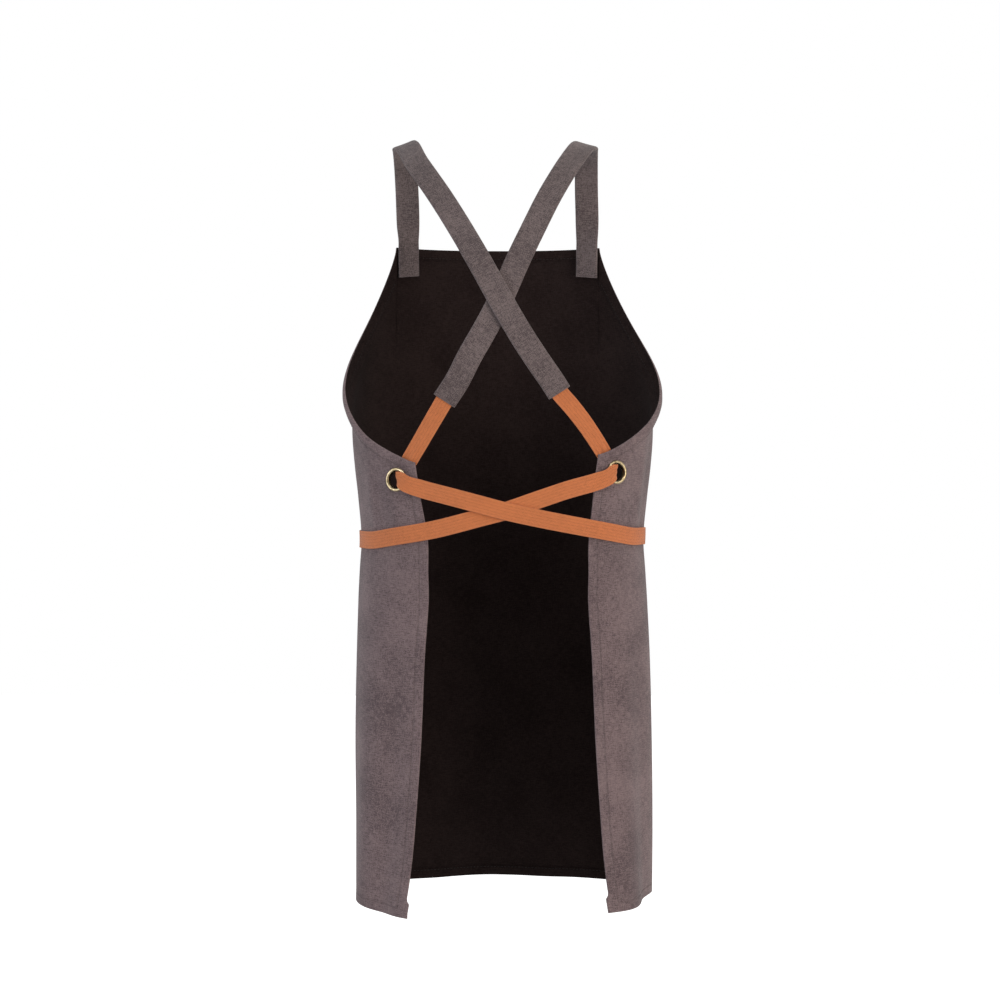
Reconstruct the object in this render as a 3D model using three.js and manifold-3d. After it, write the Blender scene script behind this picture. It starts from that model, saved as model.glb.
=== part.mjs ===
// Cross back work apron in its worn form. A canvas panel wraps round the body, two canvas
// straps run over the shoulders and cross on the back, and from the end of each strap a
// webbing tie goes down behind a wing of the panel, out through an eyelet, across the back
// and round the waist to a knot at the front.
// Millimetres. +Z is up, +Y is the front, +X is the right when it is seen from behind.
// The origin is midway between the places where the straps lie on the shoulders.
import * as THREE from "three";
import { mergeVertices } from "three/addons/utils/BufferGeometryUtils.js";
import Module from "manifold-3d";

const wasm = await Module();
wasm.setup();

// Driving dimensions
const SHOULDER_TO_HEM = 883;
const BODY_HALF_WIDTH = 174;
const FRONT_DEPTH = 128;
const BACK_DEPTH = 118;
const CLOTH_HALF_GIRTH = 366.5;
const CLOTH_SHIFT = 6.8; // the panel sits this far round to the left
const WING_TILT = 4.5; // the left wing hangs lower by this, the right one's top sits higher
const ARMHOLE_SAG = 5.5; // how far the left armhole's edge sags behind the arm
const WING_PULL = 5; // how far the tie draws the right wing's top towards the middle
const HEM_RISE = 8; // how far the hem rides up behind the sides of the body
const BIB_HALF_WIDTH = 130;
const BIB_DROP = 109; // from the shoulders down to the top of the bib
const WING_DROP = 369; // from the shoulders down to the wings' top corners
const WAIST_DROP = 460; // from the shoulders down to the ties at the sides
const ARMHOLE_FLARE = 12.5; // how far the armholes' edges stand out at the sides
const CLOTH_THICKNESS = 1.5;
const HEM_WIDTH = 12;
const HEM_FOLD = 1.3; // what the turned in cloth adds on the inside
const STRAP_WIDTH = 28;
const STRAP_THICKNESS = 4.2;
const STRAP_ON_BIB = 34; // how far each strap reaches down behind the bib
const STRAP_SOCKET = 24; // how far the webbing reaches into the strap's end
const LEFT_STRAP_DROP = 296; // from the shoulders down to the strap's lower end
const RIGHT_STRAP_DROP = 305;
const LEFT_SHOULDER_SLOPE = 21; // degrees
const RIGHT_SHOULDER_SLOPE = 16;
const WEBBING_WIDTH = 20;
const WEBBING_THICKNESS = 1.5;
const BUNCHED_WIDTH = 16; // the webbing where an eyelet bunches it
const RIGHT_WEBBING_BOW = 2.6; // the right webbing bows this far up between strap and wing
const EYELET_DIAMETER = 27;
const EYELET_HOLE = 20;
const EYELET_WALL = 0.9;
const EYELET_HEIGHT = 2; // of the domed rim
const EYELET_FROM_EDGE = 26.5;
const EYELET_FROM_TOP = 19;
const CLAMPED_CLOTH = 1; // thickness of the cloth between the eyelet and its washer
const WASHER_THICKNESS = 1.2;
const KNOT_LENGTH = 24;
const KNOT_WALL = 1.5;
const GATHERED_WIDTH = 9; // the webbing where the knot squeezes it
const GATHERED_THICKNESS = 3;
const TAIL_LENGTH = 170; // of each webbing below the knot
const TAIL_DRIFT = 5; // how far each tail's end hangs out to its side
const SEAT_GAP = 0.3;

// Shape constants
const ARMHOLE_POWER = 1.3; // 1 is a straight cut, 2 a quarter ellipse
const FRONT_POWER = 2.3; // squareness of the level sections
const BACK_POWER = 2.4;
const RING_STEPS = 120;
const CLOTH_STEP = 27; // spacing of the panel's rows and columns
const STATION_STEP = 15; // longest step along a strap or a webbing
const FACET_ROOM = 0.6; // room for the flat facets of the curved cloth

// Level sections of the cloth: drop is a share of SHOULDER_TO_HEM, halfWidth of
// BODY_HALF_WIDTH, front of FRONT_DEPTH and back of BACK_DEPTH.
const SECTIONS = [
  { drop: 0.064, halfWidth: 0.86, front: 0.68, back: 0.78 },
  { drop: 0.124, halfWidth: 0.91, front: 0.82, back: 0.88 },
  { drop: 0.22, halfWidth: 0.97, front: 0.965, back: 0.95 },
  { drop: 0.295, halfWidth: 1.0, front: 0.955, back: 0.98 },
  { drop: 0.336, halfWidth: 1.008, front: 0.94, back: 0.985 },
  { drop: 0.384, halfWidth: 1.012, front: 0.914, back: 0.99 },
  { drop: 0.426, halfWidth: 0.996, front: 0.902, back: 1.0 },
  { drop: 0.468, halfWidth: 0.971, front: 0.887, back: 1.034 },
  { drop: 0.521, halfWidth: 0.948, front: 0.867, back: 1.038 },
  { drop: 0.563, halfWidth: 0.961, front: 0.891, back: 0.962 },
  { drop: 0.602, halfWidth: 0.972, front: 0.91, back: 0.898 },
  { drop: 0.673, halfWidth: 0.984, front: 0.93, back: 0.886 },
  { drop: 0.792, halfWidth: 0.994, front: 0.961, back: 0.873 },
  { drop: 0.906, halfWidth: 0.994, front: 0.984, back: 0.936 },
  { drop: 0.956, halfWidth: 0.993, front: 0.992, back: 0.992 },
  { drop: 1, halfWidth: 0.992, front: 1.0, back: 1.07 },
];

// Soft upright folds of the skirt, which fade out at the waist: place and width are shares
// of CLOTH_HALF_GIRTH from the centre front, depth a share of FRONT_DEPTH, + outwards.
const FOLDS = [
  { place: -0.93, width: 0.045, depth: -0.03 },
  { place: -0.83, width: 0.06, depth: 0.045 },
  { place: -0.72, width: 0.05, depth: -0.03 },
  { place: -0.42, width: 0.07, depth: 0.035 },
  { place: -0.24, width: 0.08, depth: -0.045 },
  { place: -0.05, width: 0.08, depth: 0.03 },
  { place: 0.15, width: 0.08, depth: -0.04 },
  { place: 0.4, width: 0.07, depth: 0.04 },
  { place: 0.71, width: 0.035, depth: 0.02 },
  { place: 0.8, width: 0.04, depth: -0.03 },
  { place: 0.9, width: 0.06, depth: 0.03 },
];

// Both shoulder straps on the back: reach is a share of BACK_DEPTH, drop of
// SHOULDER_TO_HEM, left and right of BODY_HALF_WIDTH for the centre lines of the straps.
const STRAPS_BEHIND = [
  { reach: 0, drop: 0, left: -0.667, right: 0.566 },
  { reach: 0.15, drop: 0.006, left: -0.632, right: 0.528 },
  { reach: 0.38, drop: 0.03, left: -0.572, right: 0.449 },
  { reach: 0.55, drop: 0.057, left: -0.485, right: 0.37 },
  { reach: 0.67, drop: 0.084, left: -0.397, right: 0.296 },
  { reach: 0.805, drop: 0.124, left: -0.276, right: 0.199 },
  { reach: 0.89, drop: 0.164, left: -0.161, right: 0.103 },
  { reach: 0.95, drop: 0.223, left: 0.003, right: -0.029 },
  { reach: 0.975, drop: 0.259, left: 0.109, right: -0.126 },
  { reach: 0.985, drop: 0.289, left: 0.207, right: -0.213 },
  { reach: 0.985, drop: 0.32, left: 0.316, right: -0.293 },
  { reach: 0.98, drop: 0.352, left: 0.42, right: -0.399 },
];

// The same straps in front of the shoulders; reach is a share of FRONT_DEPTH.
const STRAPS_AHEAD = [
  { reach: 0.1, drop: 0.003, left: -0.667, right: 0.57 },
  { reach: 0.27, drop: 0.018, left: -0.665, right: 0.575 },
  { reach: 0.43, drop: 0.048, left: -0.662, right: 0.582 },
  { reach: 0.53, drop: 0.08, left: -0.66, right: 0.59 },
];

// The ties across the back, from their eyelet to the far side: across is a share of
// BODY_HALF_WIDTH towards that side, drop one of SHOULDER_TO_HEM.
const LEFT_TIE = [
  { across: -0.52, drop: 0.457 },
  { across: -0.33, drop: 0.467 },
  { across: -0.14, drop: 0.477 },
  { across: 0.03, drop: 0.486 },
  { across: 0.24, drop: 0.495 },
  { across: 0.42, drop: 0.502 },
  { across: 0.58, drop: 0.508 },
  { across: 0.71, drop: 0.513 },
  { across: 0.84, drop: 0.518 },
];
const RIGHT_TIE = [
  { across: -0.6, drop: 0.448 },
  { across: -0.42, drop: 0.458 },
  { across: -0.24, drop: 0.47 },
  { across: -0.02, drop: 0.485 },
  { across: 0.15, drop: 0.494 },
  { across: 0.4, drop: 0.507 },
  { across: 0.55, drop: 0.513 },
  { across: 0.7, drop: 0.518 },
  { across: 0.84, drop: 0.523 },
];

// What follows from the dimensions
const CLOTH_FACE = CLOTH_THICKNESS / 2;
const HEM_DEPTH = CLOTH_FACE + HEM_FOLD;
const TIE_LIFT = CLOTH_FACE + SEAT_GAP + FACET_ROOM + WEBBING_THICKNESS / 2;
const INNER_LIFT = -(HEM_DEPTH + SEAT_GAP + FACET_ROOM + WEBBING_THICKNESS / 2);
const BIB_STRAP_LIFT = -(HEM_DEPTH + SEAT_GAP + FACET_ROOM + STRAP_THICKNESS / 2);
const STRAP_OVER_STRAP = STRAP_THICKNESS + 2 * SEAT_GAP;
const TIE_OVER_TIE = WEBBING_THICKNESS + 2 * SEAT_GAP;
const CROSSING_REACH = 2 * STRAP_WIDTH; // half the length in which a strap rises over the other
const EYELET_BARREL = EYELET_HOLE / 2 + EYELET_WALL;
const FLANGE_SEAT = CLAMPED_CLOTH / 2 + SEAT_GAP;
const LIP_DEPTH = FLANGE_SEAT + WASHER_THICKNESS + SEAT_GAP;
const KNOT_DEPTH = 2 * GATHERED_THICKNESS + 4 * SEAT_GAP;
const KNOT_LIFT = CLOTH_FACE + SEAT_GAP + FACET_ROOM;
const LOWER_LAYER = KNOT_LIFT + KNOT_WALL + SEAT_GAP + GATHERED_THICKNESS / 2;
const UPPER_LAYER = LOWER_LAYER + GATHERED_THICKNESS + 2 * SEAT_GAP;

const UP = new THREE.Vector3(0, 0, 1);

function smoothStep(from, to, value) {
  const share = THREE.MathUtils.clamp((value - from) / (to - from), 0, 1);
  return share * share * (3 - 2 * share);
}

// Reads one column of a table between its rows, along a smooth curve through them.
function readTable(table, key, column, value) {
  let row = table.findIndex((entry) => entry[key] > value);
  row = THREE.MathUtils.clamp(row < 0 ? table.length - 1 : row, 1, table.length - 1);
  const [low, high] = [table[row - 1], table[row]];
  const before = table[Math.max(row - 2, 0)];
  const after = table[Math.min(row + 1, table.length - 1)];
  const span = high[key] - low[key];
  const share = THREE.MathUtils.clamp((value - low[key]) / span, 0, 1);
  const slopeLow = ((high[column] - before[column]) / (high[key] - before[key])) * span;
  const slopeHigh = ((after[column] - low[column]) / (after[key] - low[key])) * span;
  const square = share * share;
  const cube = square * share;
  return (
    low[column] * (2 * cube - 3 * square + 1) +
    slopeLow * (cube - 2 * square + share) +
    high[column] * (3 * square - 2 * cube) +
    slopeHigh * (cube - square)
  );
}

// Half of the level section at a drop, from the centre front to the centre back, with the
// length along it up to each of its points.
const rings = new Map();
function ringAt(drop) {
  const key = Math.round(drop * 20);
  if (rings.has(key)) return rings.get(key);
  const share = drop / SHOULDER_TO_HEM;
  const halfWidth = BODY_HALF_WIDTH * readTable(SECTIONS, "drop", "halfWidth", share);
  const front = FRONT_DEPTH * readTable(SECTIONS, "drop", "front", share);
  const back = BACK_DEPTH * readTable(SECTIONS, "drop", "back", share);
  const points = [];
  const lengths = [];
  for (let step = 0; step <= RING_STEPS; step += 1) {
    const angle = (Math.PI * step) / RING_STEPS;
    const [sine, cosine] = [Math.max(Math.sin(angle), 0), Math.cos(angle)];
    const power = cosine > 0 ? 2 / FRONT_POWER : 2 / BACK_POWER;
    const depth = cosine > 0 ? front : -back;
    const x = halfWidth * Math.pow(sine, power);
    points.push(new THREE.Vector2(x, depth * Math.pow(Math.abs(cosine), power)));
    lengths.push(step ? lengths[step - 1] + points[step].distanceTo(points[step - 1]) : 0);
  }
  const ring = { points, lengths, half: lengths[RING_STEPS] };
  rings.set(key, ring);
  return ring;
}

// Where on the ring a length falls: the point on the right half and the unit direction there.
function readRing(ring, length) {
  const distance = THREE.MathUtils.clamp(length, 0, ring.half - 1e-6);
  let low = 0;
  let high = RING_STEPS;
  while (high - low > 1) {
    const middle = (low + high) >> 1;
    if (ring.lengths[middle] > distance) high = middle;
    else low = middle;
  }
  const share = (distance - ring.lengths[low]) / (ring.lengths[high] - ring.lengths[low]);
  const point = ring.points[low].clone().lerp(ring.points[high], share);
  const direction = ring.points[high].clone().sub(ring.points[low]).normalize();
  return { point, direction };
}

function foldLift(round, drop) {
  const fade = smoothStep(WAIST_DROP, SHOULDER_TO_HEM, drop);
  const bump = ({ place, width, depth }) =>
    depth * Math.exp(-Math.pow((round / CLOTH_HALF_GIRTH - place) / width, 2));
  return fade * FRONT_DEPTH * FOLDS.reduce((sum, fold) => sum + bump(fold), 0);
}

// A point of the wrapped surface: round is the length along the level section from the
// centre front, + to the right, drop the distance below the shoulders, lift the height
// over the middle of the cloth.
function wrap(round, drop, lift = 0) {
  const ring = ringAt(drop);
  let length = round % (2 * ring.half);
  if (length > ring.half) length -= 2 * ring.half;
  if (length < -ring.half) length += 2 * ring.half;
  const side = length < 0 ? -1 : 1;
  const { point, direction } = readRing(ring, Math.abs(length));
  const height = lift + foldLift(round, drop);
  const x = point.x - direction.y * height;
  const y = point.y + direction.x * height;
  return new THREE.Vector3(side * x, y, -drop);
}

// The outward direction of the wrapped surface.
function wrapNormal(round, drop) {
  const reach = 4;
  const sideways = wrap(round + reach, drop).sub(wrap(round - reach, drop));
  const upwards = wrap(round, drop - reach).sub(wrap(round, drop + reach));
  return upwards.cross(sideways).normalize();
}

// The length round at which the back of the section reaches a given x.
function roundAtBack(across, drop) {
  const ring = ringAt(drop);
  const target = Math.abs(across);
  const widest = ring.points.reduce((best, point, i) => (point.x > ring.points[best].x ? i : best), 0);
  let low = ring.lengths[widest];
  let high = ring.half;
  for (let step = 0; step < 40; step += 1) {
    const middle = (low + high) / 2;
    if (readRing(ring, middle).point.x > target) low = middle;
    else high = middle;
  }
  return across < 0 ? 2 * ring.half - low : low;
}

// Top edge of the flat panel: the bib's straight top, then the armhole.
function topDrop(along) {
  const distance = Math.abs(along);
  if (distance <= BIB_HALF_WIDTH) return BIB_DROP;
  const run = (distance - BIB_HALF_WIDTH) / (CLOTH_HALF_GIRTH - BIB_HALF_WIDTH);
  const fall = 1 - Math.pow(Math.max(1 - run, 0), ARMHOLE_POWER);
  return BIB_DROP + (WING_DROP - BIB_DROP) * Math.pow(fall, 1 / ARMHOLE_POWER);
}

// How far the cloth curls out near the armhole's edge, most at the sides of the body.
function flareLift(along, drop) {
  const sideways = (Math.abs(along) / CLOTH_HALF_GIRTH - 0.67) / 0.16;
  const below = (drop - topDrop(along)) / SHOULDER_TO_HEM;
  return ARMHOLE_FLARE * Math.exp(-sideways * sideways - Math.pow((below - 0.0065) / 0.0158, 2));
}

// How far the cloth rides up from its level place. The left armhole sags behind the arm, and
// the hem rises behind the sides.
function rideUp(along, drop) {
  const share = along / CLOTH_HALF_GIRTH;
  const bump = (middle, width) => Math.exp(-Math.pow((share - middle) / width, 2));
  const below = (drop - topDrop(along)) / SHOULDER_TO_HEM;
  const down = smoothStep(WING_DROP, SHOULDER_TO_HEM, drop);
  const tilt = WING_TILT * Math.pow(share, 3) * (share > 0 ? 1 - 0.9 * down : 1);
  const sag = ARMHOLE_SAG * bump(-0.83, 0.09) * (1 - smoothStep(0, 0.12, below));
  const rise = HEM_RISE * (bump(-0.74, 0.12) + bump(0.74, 0.12)) * Math.pow(down, 3);
  return tilt - sag + rise;
}

// The cloth's own coordinates: along is the flat distance from its centre front.
function clothPoint(along, drop, lift = 0) {
  const low = smoothStep(WING_DROP + EYELET_FROM_TOP, WAIST_DROP + HEM_WIDTH, drop);
  const drawn = WING_PULL * smoothStep(0.6, 1, along / CLOTH_HALF_GIRTH) * (1 - low);
  return wrap(along + drawn - CLOTH_SHIFT, drop - rideUp(along, drop), lift + flareLift(along, drop));
}

// Makes a geometry from points and triangles.
function geometryFrom(points, triangles) {
  const geometry = new THREE.BufferGeometry();
  const positions = new Float32Array(points.flatMap((point) => [point.x, point.y, point.z]));
  geometry.setAttribute("position", new THREE.BufferAttribute(positions, 3));
  geometry.setIndex(triangles);
  return geometry;
}

function toSolid(geometry) {
  const bare = geometry.clone();
  bare.deleteAttribute("normal");
  bare.deleteAttribute("uv");
  const merged = mergeVertices(bare, 1e-4);
  const vertProperties = new Float32Array(merged.attributes.position.array);
  const triVerts = new Uint32Array(merged.index.array);
  return new wasm.Manifold(new wasm.Mesh({ numProp: 3, vertProperties, triVerts }));
}

function toGeometry(solid) {
  const mesh = solid.getMesh();
  const geometry = new THREE.BufferGeometry();
  geometry.setAttribute("position", new THREE.BufferAttribute(mesh.vertProperties, 3));
  geometry.setIndex(new THREE.BufferAttribute(mesh.triVerts, 1));
  return geometry;
}

// Columns of the panel from the left wing's inner edge to the right one's. The hem's inner
// side, the eyelet and the bib's corners have columns of their own.
function panelColumns() {
  const half = [];
  const spread = (from, to) => {
    const count = Math.max(Math.round((to - from) / CLOTH_STEP), 1);
    for (let step = 0; step < count; step += 1) half.push(from + ((to - from) * step) / count);
  };
  const armhole = CLOTH_HALF_GIRTH - BIB_HALF_WIDTH;
  const wing = CLOTH_HALF_GIRTH - EYELET_FROM_EDGE - EYELET_DIAMETER / 2;
  spread(0, BIB_HALF_WIDTH);
  half.push(BIB_HALF_WIDTH, BIB_HALF_WIDTH + armhole * 0.03);
  spread(BIB_HALF_WIDTH + armhole * 0.07, wing);
  half.push(wing, CLOTH_HALF_GIRTH - EYELET_FROM_EDGE);
  half.push(CLOTH_HALF_GIRTH - HEM_WIDTH - 1, CLOTH_HALF_GIRTH - HEM_WIDTH, CLOTH_HALF_GIRTH);
  return [...half.slice(1).reverse().map((along) => -along), ...half];
}

// The points of one column, from the hem up: their drop, and whether the hem is there.
function panelColumn(along) {
  const top = topDrop(along);
  const slope = (topDrop(Math.abs(along) + 1) - topDrop(Math.abs(along) - 1)) / 2;
  const leaning = Math.abs(along) > BIB_HALF_WIDTH ? slope : 0;
  const hem = Math.min(HEM_WIDTH * Math.hypot(1, leaning), 3 * HEM_WIDTH);
  const sideHem = Math.abs(along) >= CLOTH_HALF_GIRTH - HEM_WIDTH;
  const points = [SHOULDER_TO_HEM, SHOULDER_TO_HEM - HEM_WIDTH].map((drop) => ({ drop, hem: true }));
  const lowest = SHOULDER_TO_HEM - HEM_WIDTH - 1;
  const highest = top + hem + 1;
  points.push({ drop: lowest, hem: sideHem });
  const rows = [];
  const fill = (from, to) => {
    const count = Math.round((from - to) / CLOTH_STEP);
    for (let step = 1; step <= count; step += 1) rows.push(from + ((to - from) * step) / count);
  };
  fill(lowest, WAIST_DROP + WEBBING_WIDTH);
  rows.push(WAIST_DROP, WAIST_DROP - WEBBING_WIDTH);
  fill(WAIST_DROP - WEBBING_WIDTH, BIB_DROP);
  for (const drop of rows) {
    if (drop > highest + CLOTH_STEP / 3) points.push({ drop, hem: sideHem });
  }
  points.push({ drop: highest, hem: sideHem }, { drop: top + hem, hem: true }, { drop: top, hem: true });
  return points;
}

// The panel: an outer and an inner skin, zipped column to column, with walls at its edges.
function panelGeometry() {
  const columns = panelColumns().map((along) => ({ along, points: panelColumn(along) }));
  const vertices = [];
  for (const column of columns) {
    column.first = vertices.length;
    for (const { drop, hem } of column.points) {
      vertices.push(clothPoint(column.along, drop, CLOTH_FACE));
      vertices.push(clothPoint(column.along, drop, hem ? -HEM_DEPTH : -CLOTH_FACE));
    }
  }
  const outer = (column, row) => column.first + 2 * row;
  const inner = (column, row) => outer(column, row) + 1;
  const triangles = [];
  const skins = (a, b, c) => {
    triangles.push(outer(...a), outer(...b), outer(...c));
    triangles.push(inner(...a), inner(...c), inner(...b));
  };
  const wall = (a, b) => {
    triangles.push(outer(...a), outer(...b), inner(...b));
    triangles.push(outer(...a), inner(...b), inner(...a));
  };
  for (let i = 0; i + 1 < columns.length; i += 1) {
    const [a, b] = [columns[i], columns[i + 1]];
    const [lastA, lastB] = [a.points.length - 1, b.points.length - 1];
    let rowA = 0;
    let rowB = 0;
    while (rowA < lastA || rowB < lastB) {
      const climbA = rowA < lastA ? a.points[rowA + 1].drop : -Infinity;
      const climbB = rowB < lastB ? b.points[rowB + 1].drop : -Infinity;
      if (climbA >= climbB) {
        skins([a, rowA], [a, rowA + 1], [b, rowB]);
        rowA += 1;
      } else {
        skins([a, rowA], [b, rowB + 1], [b, rowB]);
        rowB += 1;
      }
    }
    wall([a, 0], [b, 0]);
    wall([b, lastB], [a, lastA]);
  }
  const [left, right] = [columns[0], columns[columns.length - 1]];
  for (let row = 0; row + 1 < left.points.length; row += 1) wall([left, row + 1], [left, row]);
  for (let row = 0; row + 1 < right.points.length; row += 1) wall([right, row], [right, row + 1]);
  return geometryFrom(vertices, triangles);
}

// Where an eyelet sits: its centre in the middle of the cloth, its outward axis, the
// direction inward to the wing's edge, and the upward direction.
function eyeletFrame(side) {
  const along = side * (CLOTH_HALF_GIRTH - EYELET_FROM_EDGE);
  const drop = WING_DROP + EYELET_FROM_TOP;
  const centre = clothPoint(along, drop);
  const sideways = clothPoint(along + 3, drop).sub(clothPoint(along - 3, drop)).normalize();
  const upwards = clothPoint(along, drop - 3).sub(clothPoint(along, drop + 3)).normalize();
  const axis = upwards.clone().cross(sideways).normalize();
  const inward = sideways.multiplyScalar(side);
  const up = upwards.addScaledVector(inward, -upwards.dot(inward)).normalize();
  return { side, centre, axis, inward, up };
}

// Turns a profile of radius and height round an eyelet's axis.
function turnOnEyelet(frame, profile, segments = 24) {
  const outline = profile.map(([radius, height]) => new THREE.Vector2(radius, height));
  const geometry = new THREE.LatheGeometry(outline, segments);
  const third = frame.inward.clone().cross(frame.axis);
  const matrix = new THREE.Matrix4().makeBasis(frame.inward, frame.axis, third).setPosition(frame.centre);
  geometry.applyMatrix4(matrix);
  return toSolid(geometry);
}

// What an eyelet takes out of the cloth: the hole, and the pressed flat ring round it.
function eyeletCut(frame) {
  const hole = EYELET_BARREL + SEAT_GAP;
  const ring = EYELET_DIAMETER / 2 + SEAT_GAP;
  const press = CLAMPED_CLOTH / 2;
  const reach = 3 * HEM_DEPTH;
  return turnOnEyelet(frame, [
    [0, -reach],
    [ring, -reach],
    [ring, -press],
    [hole, -press],
    [hole, press],
    [ring, press],
    [ring, reach],
    [0, reach],
  ]);
}

// The eyelet: a domed rim outside, a barrel through the cloth and a rolled lip inside.
function eyeletSolid(frame) {
  const hole = EYELET_HOLE / 2;
  const rim = EYELET_DIAMETER / 2;
  const band = rim - hole;
  const top = FLANGE_SEAT + EYELET_HEIGHT;
  const lip = (EYELET_BARREL + rim) / 2;
  return turnOnEyelet(frame, [
    [hole, -LIP_DEPTH - EYELET_WALL],
    [lip - EYELET_WALL / 2, -LIP_DEPTH - EYELET_WALL],
    [lip, -LIP_DEPTH - EYELET_WALL / 2],
    [lip, -LIP_DEPTH],
    [EYELET_BARREL, -LIP_DEPTH],
    [EYELET_BARREL, FLANGE_SEAT],
    [rim, FLANGE_SEAT],
    [rim - band * 0.04, FLANGE_SEAT + EYELET_HEIGHT * 0.35],
    [rim - band * 0.25, FLANGE_SEAT + EYELET_HEIGHT * 0.82],
    [rim - band * 0.55, top],
    [hole + band * 0.18, FLANGE_SEAT + EYELET_HEIGHT * 0.82],
    [hole + band * 0.04, FLANGE_SEAT + EYELET_HEIGHT * 0.5],
    [hole, FLANGE_SEAT],
    [hole, -LIP_DEPTH - EYELET_WALL],
  ]);
}

function washerSolid(frame) {
  const bore = EYELET_BARREL + SEAT_GAP;
  const rim = EYELET_DIAMETER / 2;
  const seat = -FLANGE_SEAT;
  return turnOnEyelet(frame, [
    [bore, seat - WASHER_THICKNESS],
    [rim - WASHER_THICKNESS / 2, seat - WASHER_THICKNESS],
    [rim, seat - WASHER_THICKNESS / 2],
    [rim, seat],
    [bore, seat],
    [bore, seat - WASHER_THICKNESS],
  ]);
}

// Stations along a smooth line through knots. A knot has its point, its across direction,
// and, where they differ from the strip's own, width, thickness and cup (1 / radius).
function layStations(knots, width, thickness) {
  const curve = new THREE.CatmullRomCurve3(knots.map((knot) => knot.point));
  const stations = [];
  const count = knots.length - 1;
  const value = (knot, name, usual) => knot[name] ?? usual;
  const addStation = (index, share) => {
    const [low, high] = [knots[index], knots[Math.min(index + 1, count)]];
    const place = (index + share) / count;
    const along = curve.getTangent(THREE.MathUtils.clamp(place, 1e-4, 1 - 1e-4)).normalize();
    const across = low.across.clone().lerp(high.across, share);
    across.addScaledVector(along, -across.dot(along)).normalize();
    const mix = (name, usual) => {
      const ahead = value(high, name, usual);
      return THREE.MathUtils.lerp(value(low, name, usual), ahead, share);
    };
    stations.push({
      point: curve.getPoint(place),
      along,
      across,
      width: mix("width", width),
      thickness: mix("thickness", thickness),
      cup: mix("cup", 0),
    });
  };
  for (let index = 0; index < count; index += 1) {
    const steps = Math.ceil(knots[index].point.distanceTo(knots[index + 1].point) / STATION_STEP);
    for (let step = 0; step < steps; step += 1) addStation(index, step / steps);
  }
  addStation(count, 0);
  return stations;
}

// Sweeps a flat strip along its stations. Its face looks along across x along.
function stripGeometry(stations, divisions) {
  const vertices = [];
  const triangles = [];
  const ring = 2 * (divisions + 1);
  for (const { point, along, across, width, thickness, cup } of stations) {
    const face = across.clone().cross(along).normalize();
    const rows = [[], []];
    for (let part = 0; part <= divisions; part += 1) {
      const offset = (part / divisions - 0.5) * width;
      const angle = offset * cup;
      const bowed = Math.abs(cup) > 1e-6;
      const sideways = bowed ? Math.sin(angle) / cup : offset;
      const sink = bowed ? (Math.cos(angle) - 1) / cup : 0;
      const middle = point.clone().addScaledVector(across, sideways).addScaledVector(face, sink);
      const normal = face.clone().multiplyScalar(Math.cos(angle)).addScaledVector(across, Math.sin(angle));
      rows[0].push(middle.clone().addScaledVector(normal, thickness / 2));
      rows[1].unshift(middle.clone().addScaledVector(normal, -thickness / 2));
    }
    vertices.push(...rows[0], ...rows[1]);
  }
  for (let station = 0; station + 1 < stations.length; station += 1) {
    const start = station * ring;
    for (let corner = 0; corner < ring; corner += 1) {
      const next = (corner + 1) % ring;
      triangles.push(start + corner, start + next, start + ring + next);
      triangles.push(start + corner, start + ring + next, start + ring + corner);
    }
  }
  const cap = (start, first, second, third) => triangles.push(start + first, start + second, start + third);
  const end = (stations.length - 1) * ring;
  for (let part = 0; part < divisions; part += 1) {
    const below = ring - 1 - part;
    cap(0, part + 1, part, below);
    cap(0, part + 1, below, below - 1);
    cap(end, part, part + 1, below);
    cap(end, part + 1, below - 1, below);
  }
  return geometryFrom(vertices, triangles);
}

// The across direction of a strip that lies along a path with its face towards outward.
function acrossOf(before, after, outward) {
  return after.clone().sub(before).cross(outward).normalize();
}

// Gives each knot its across direction from its neighbours and its outward direction.
function orient(knots) {
  knots.forEach((knot, index) => {
    const before = knots[Math.max(index - 1, 0)].point;
    const after = knots[Math.min(index + 1, knots.length - 1)].point;
    knot.across = knot.across ?? acrossOf(before, after, knot.outward);
  });
  return knots;
}

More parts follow.
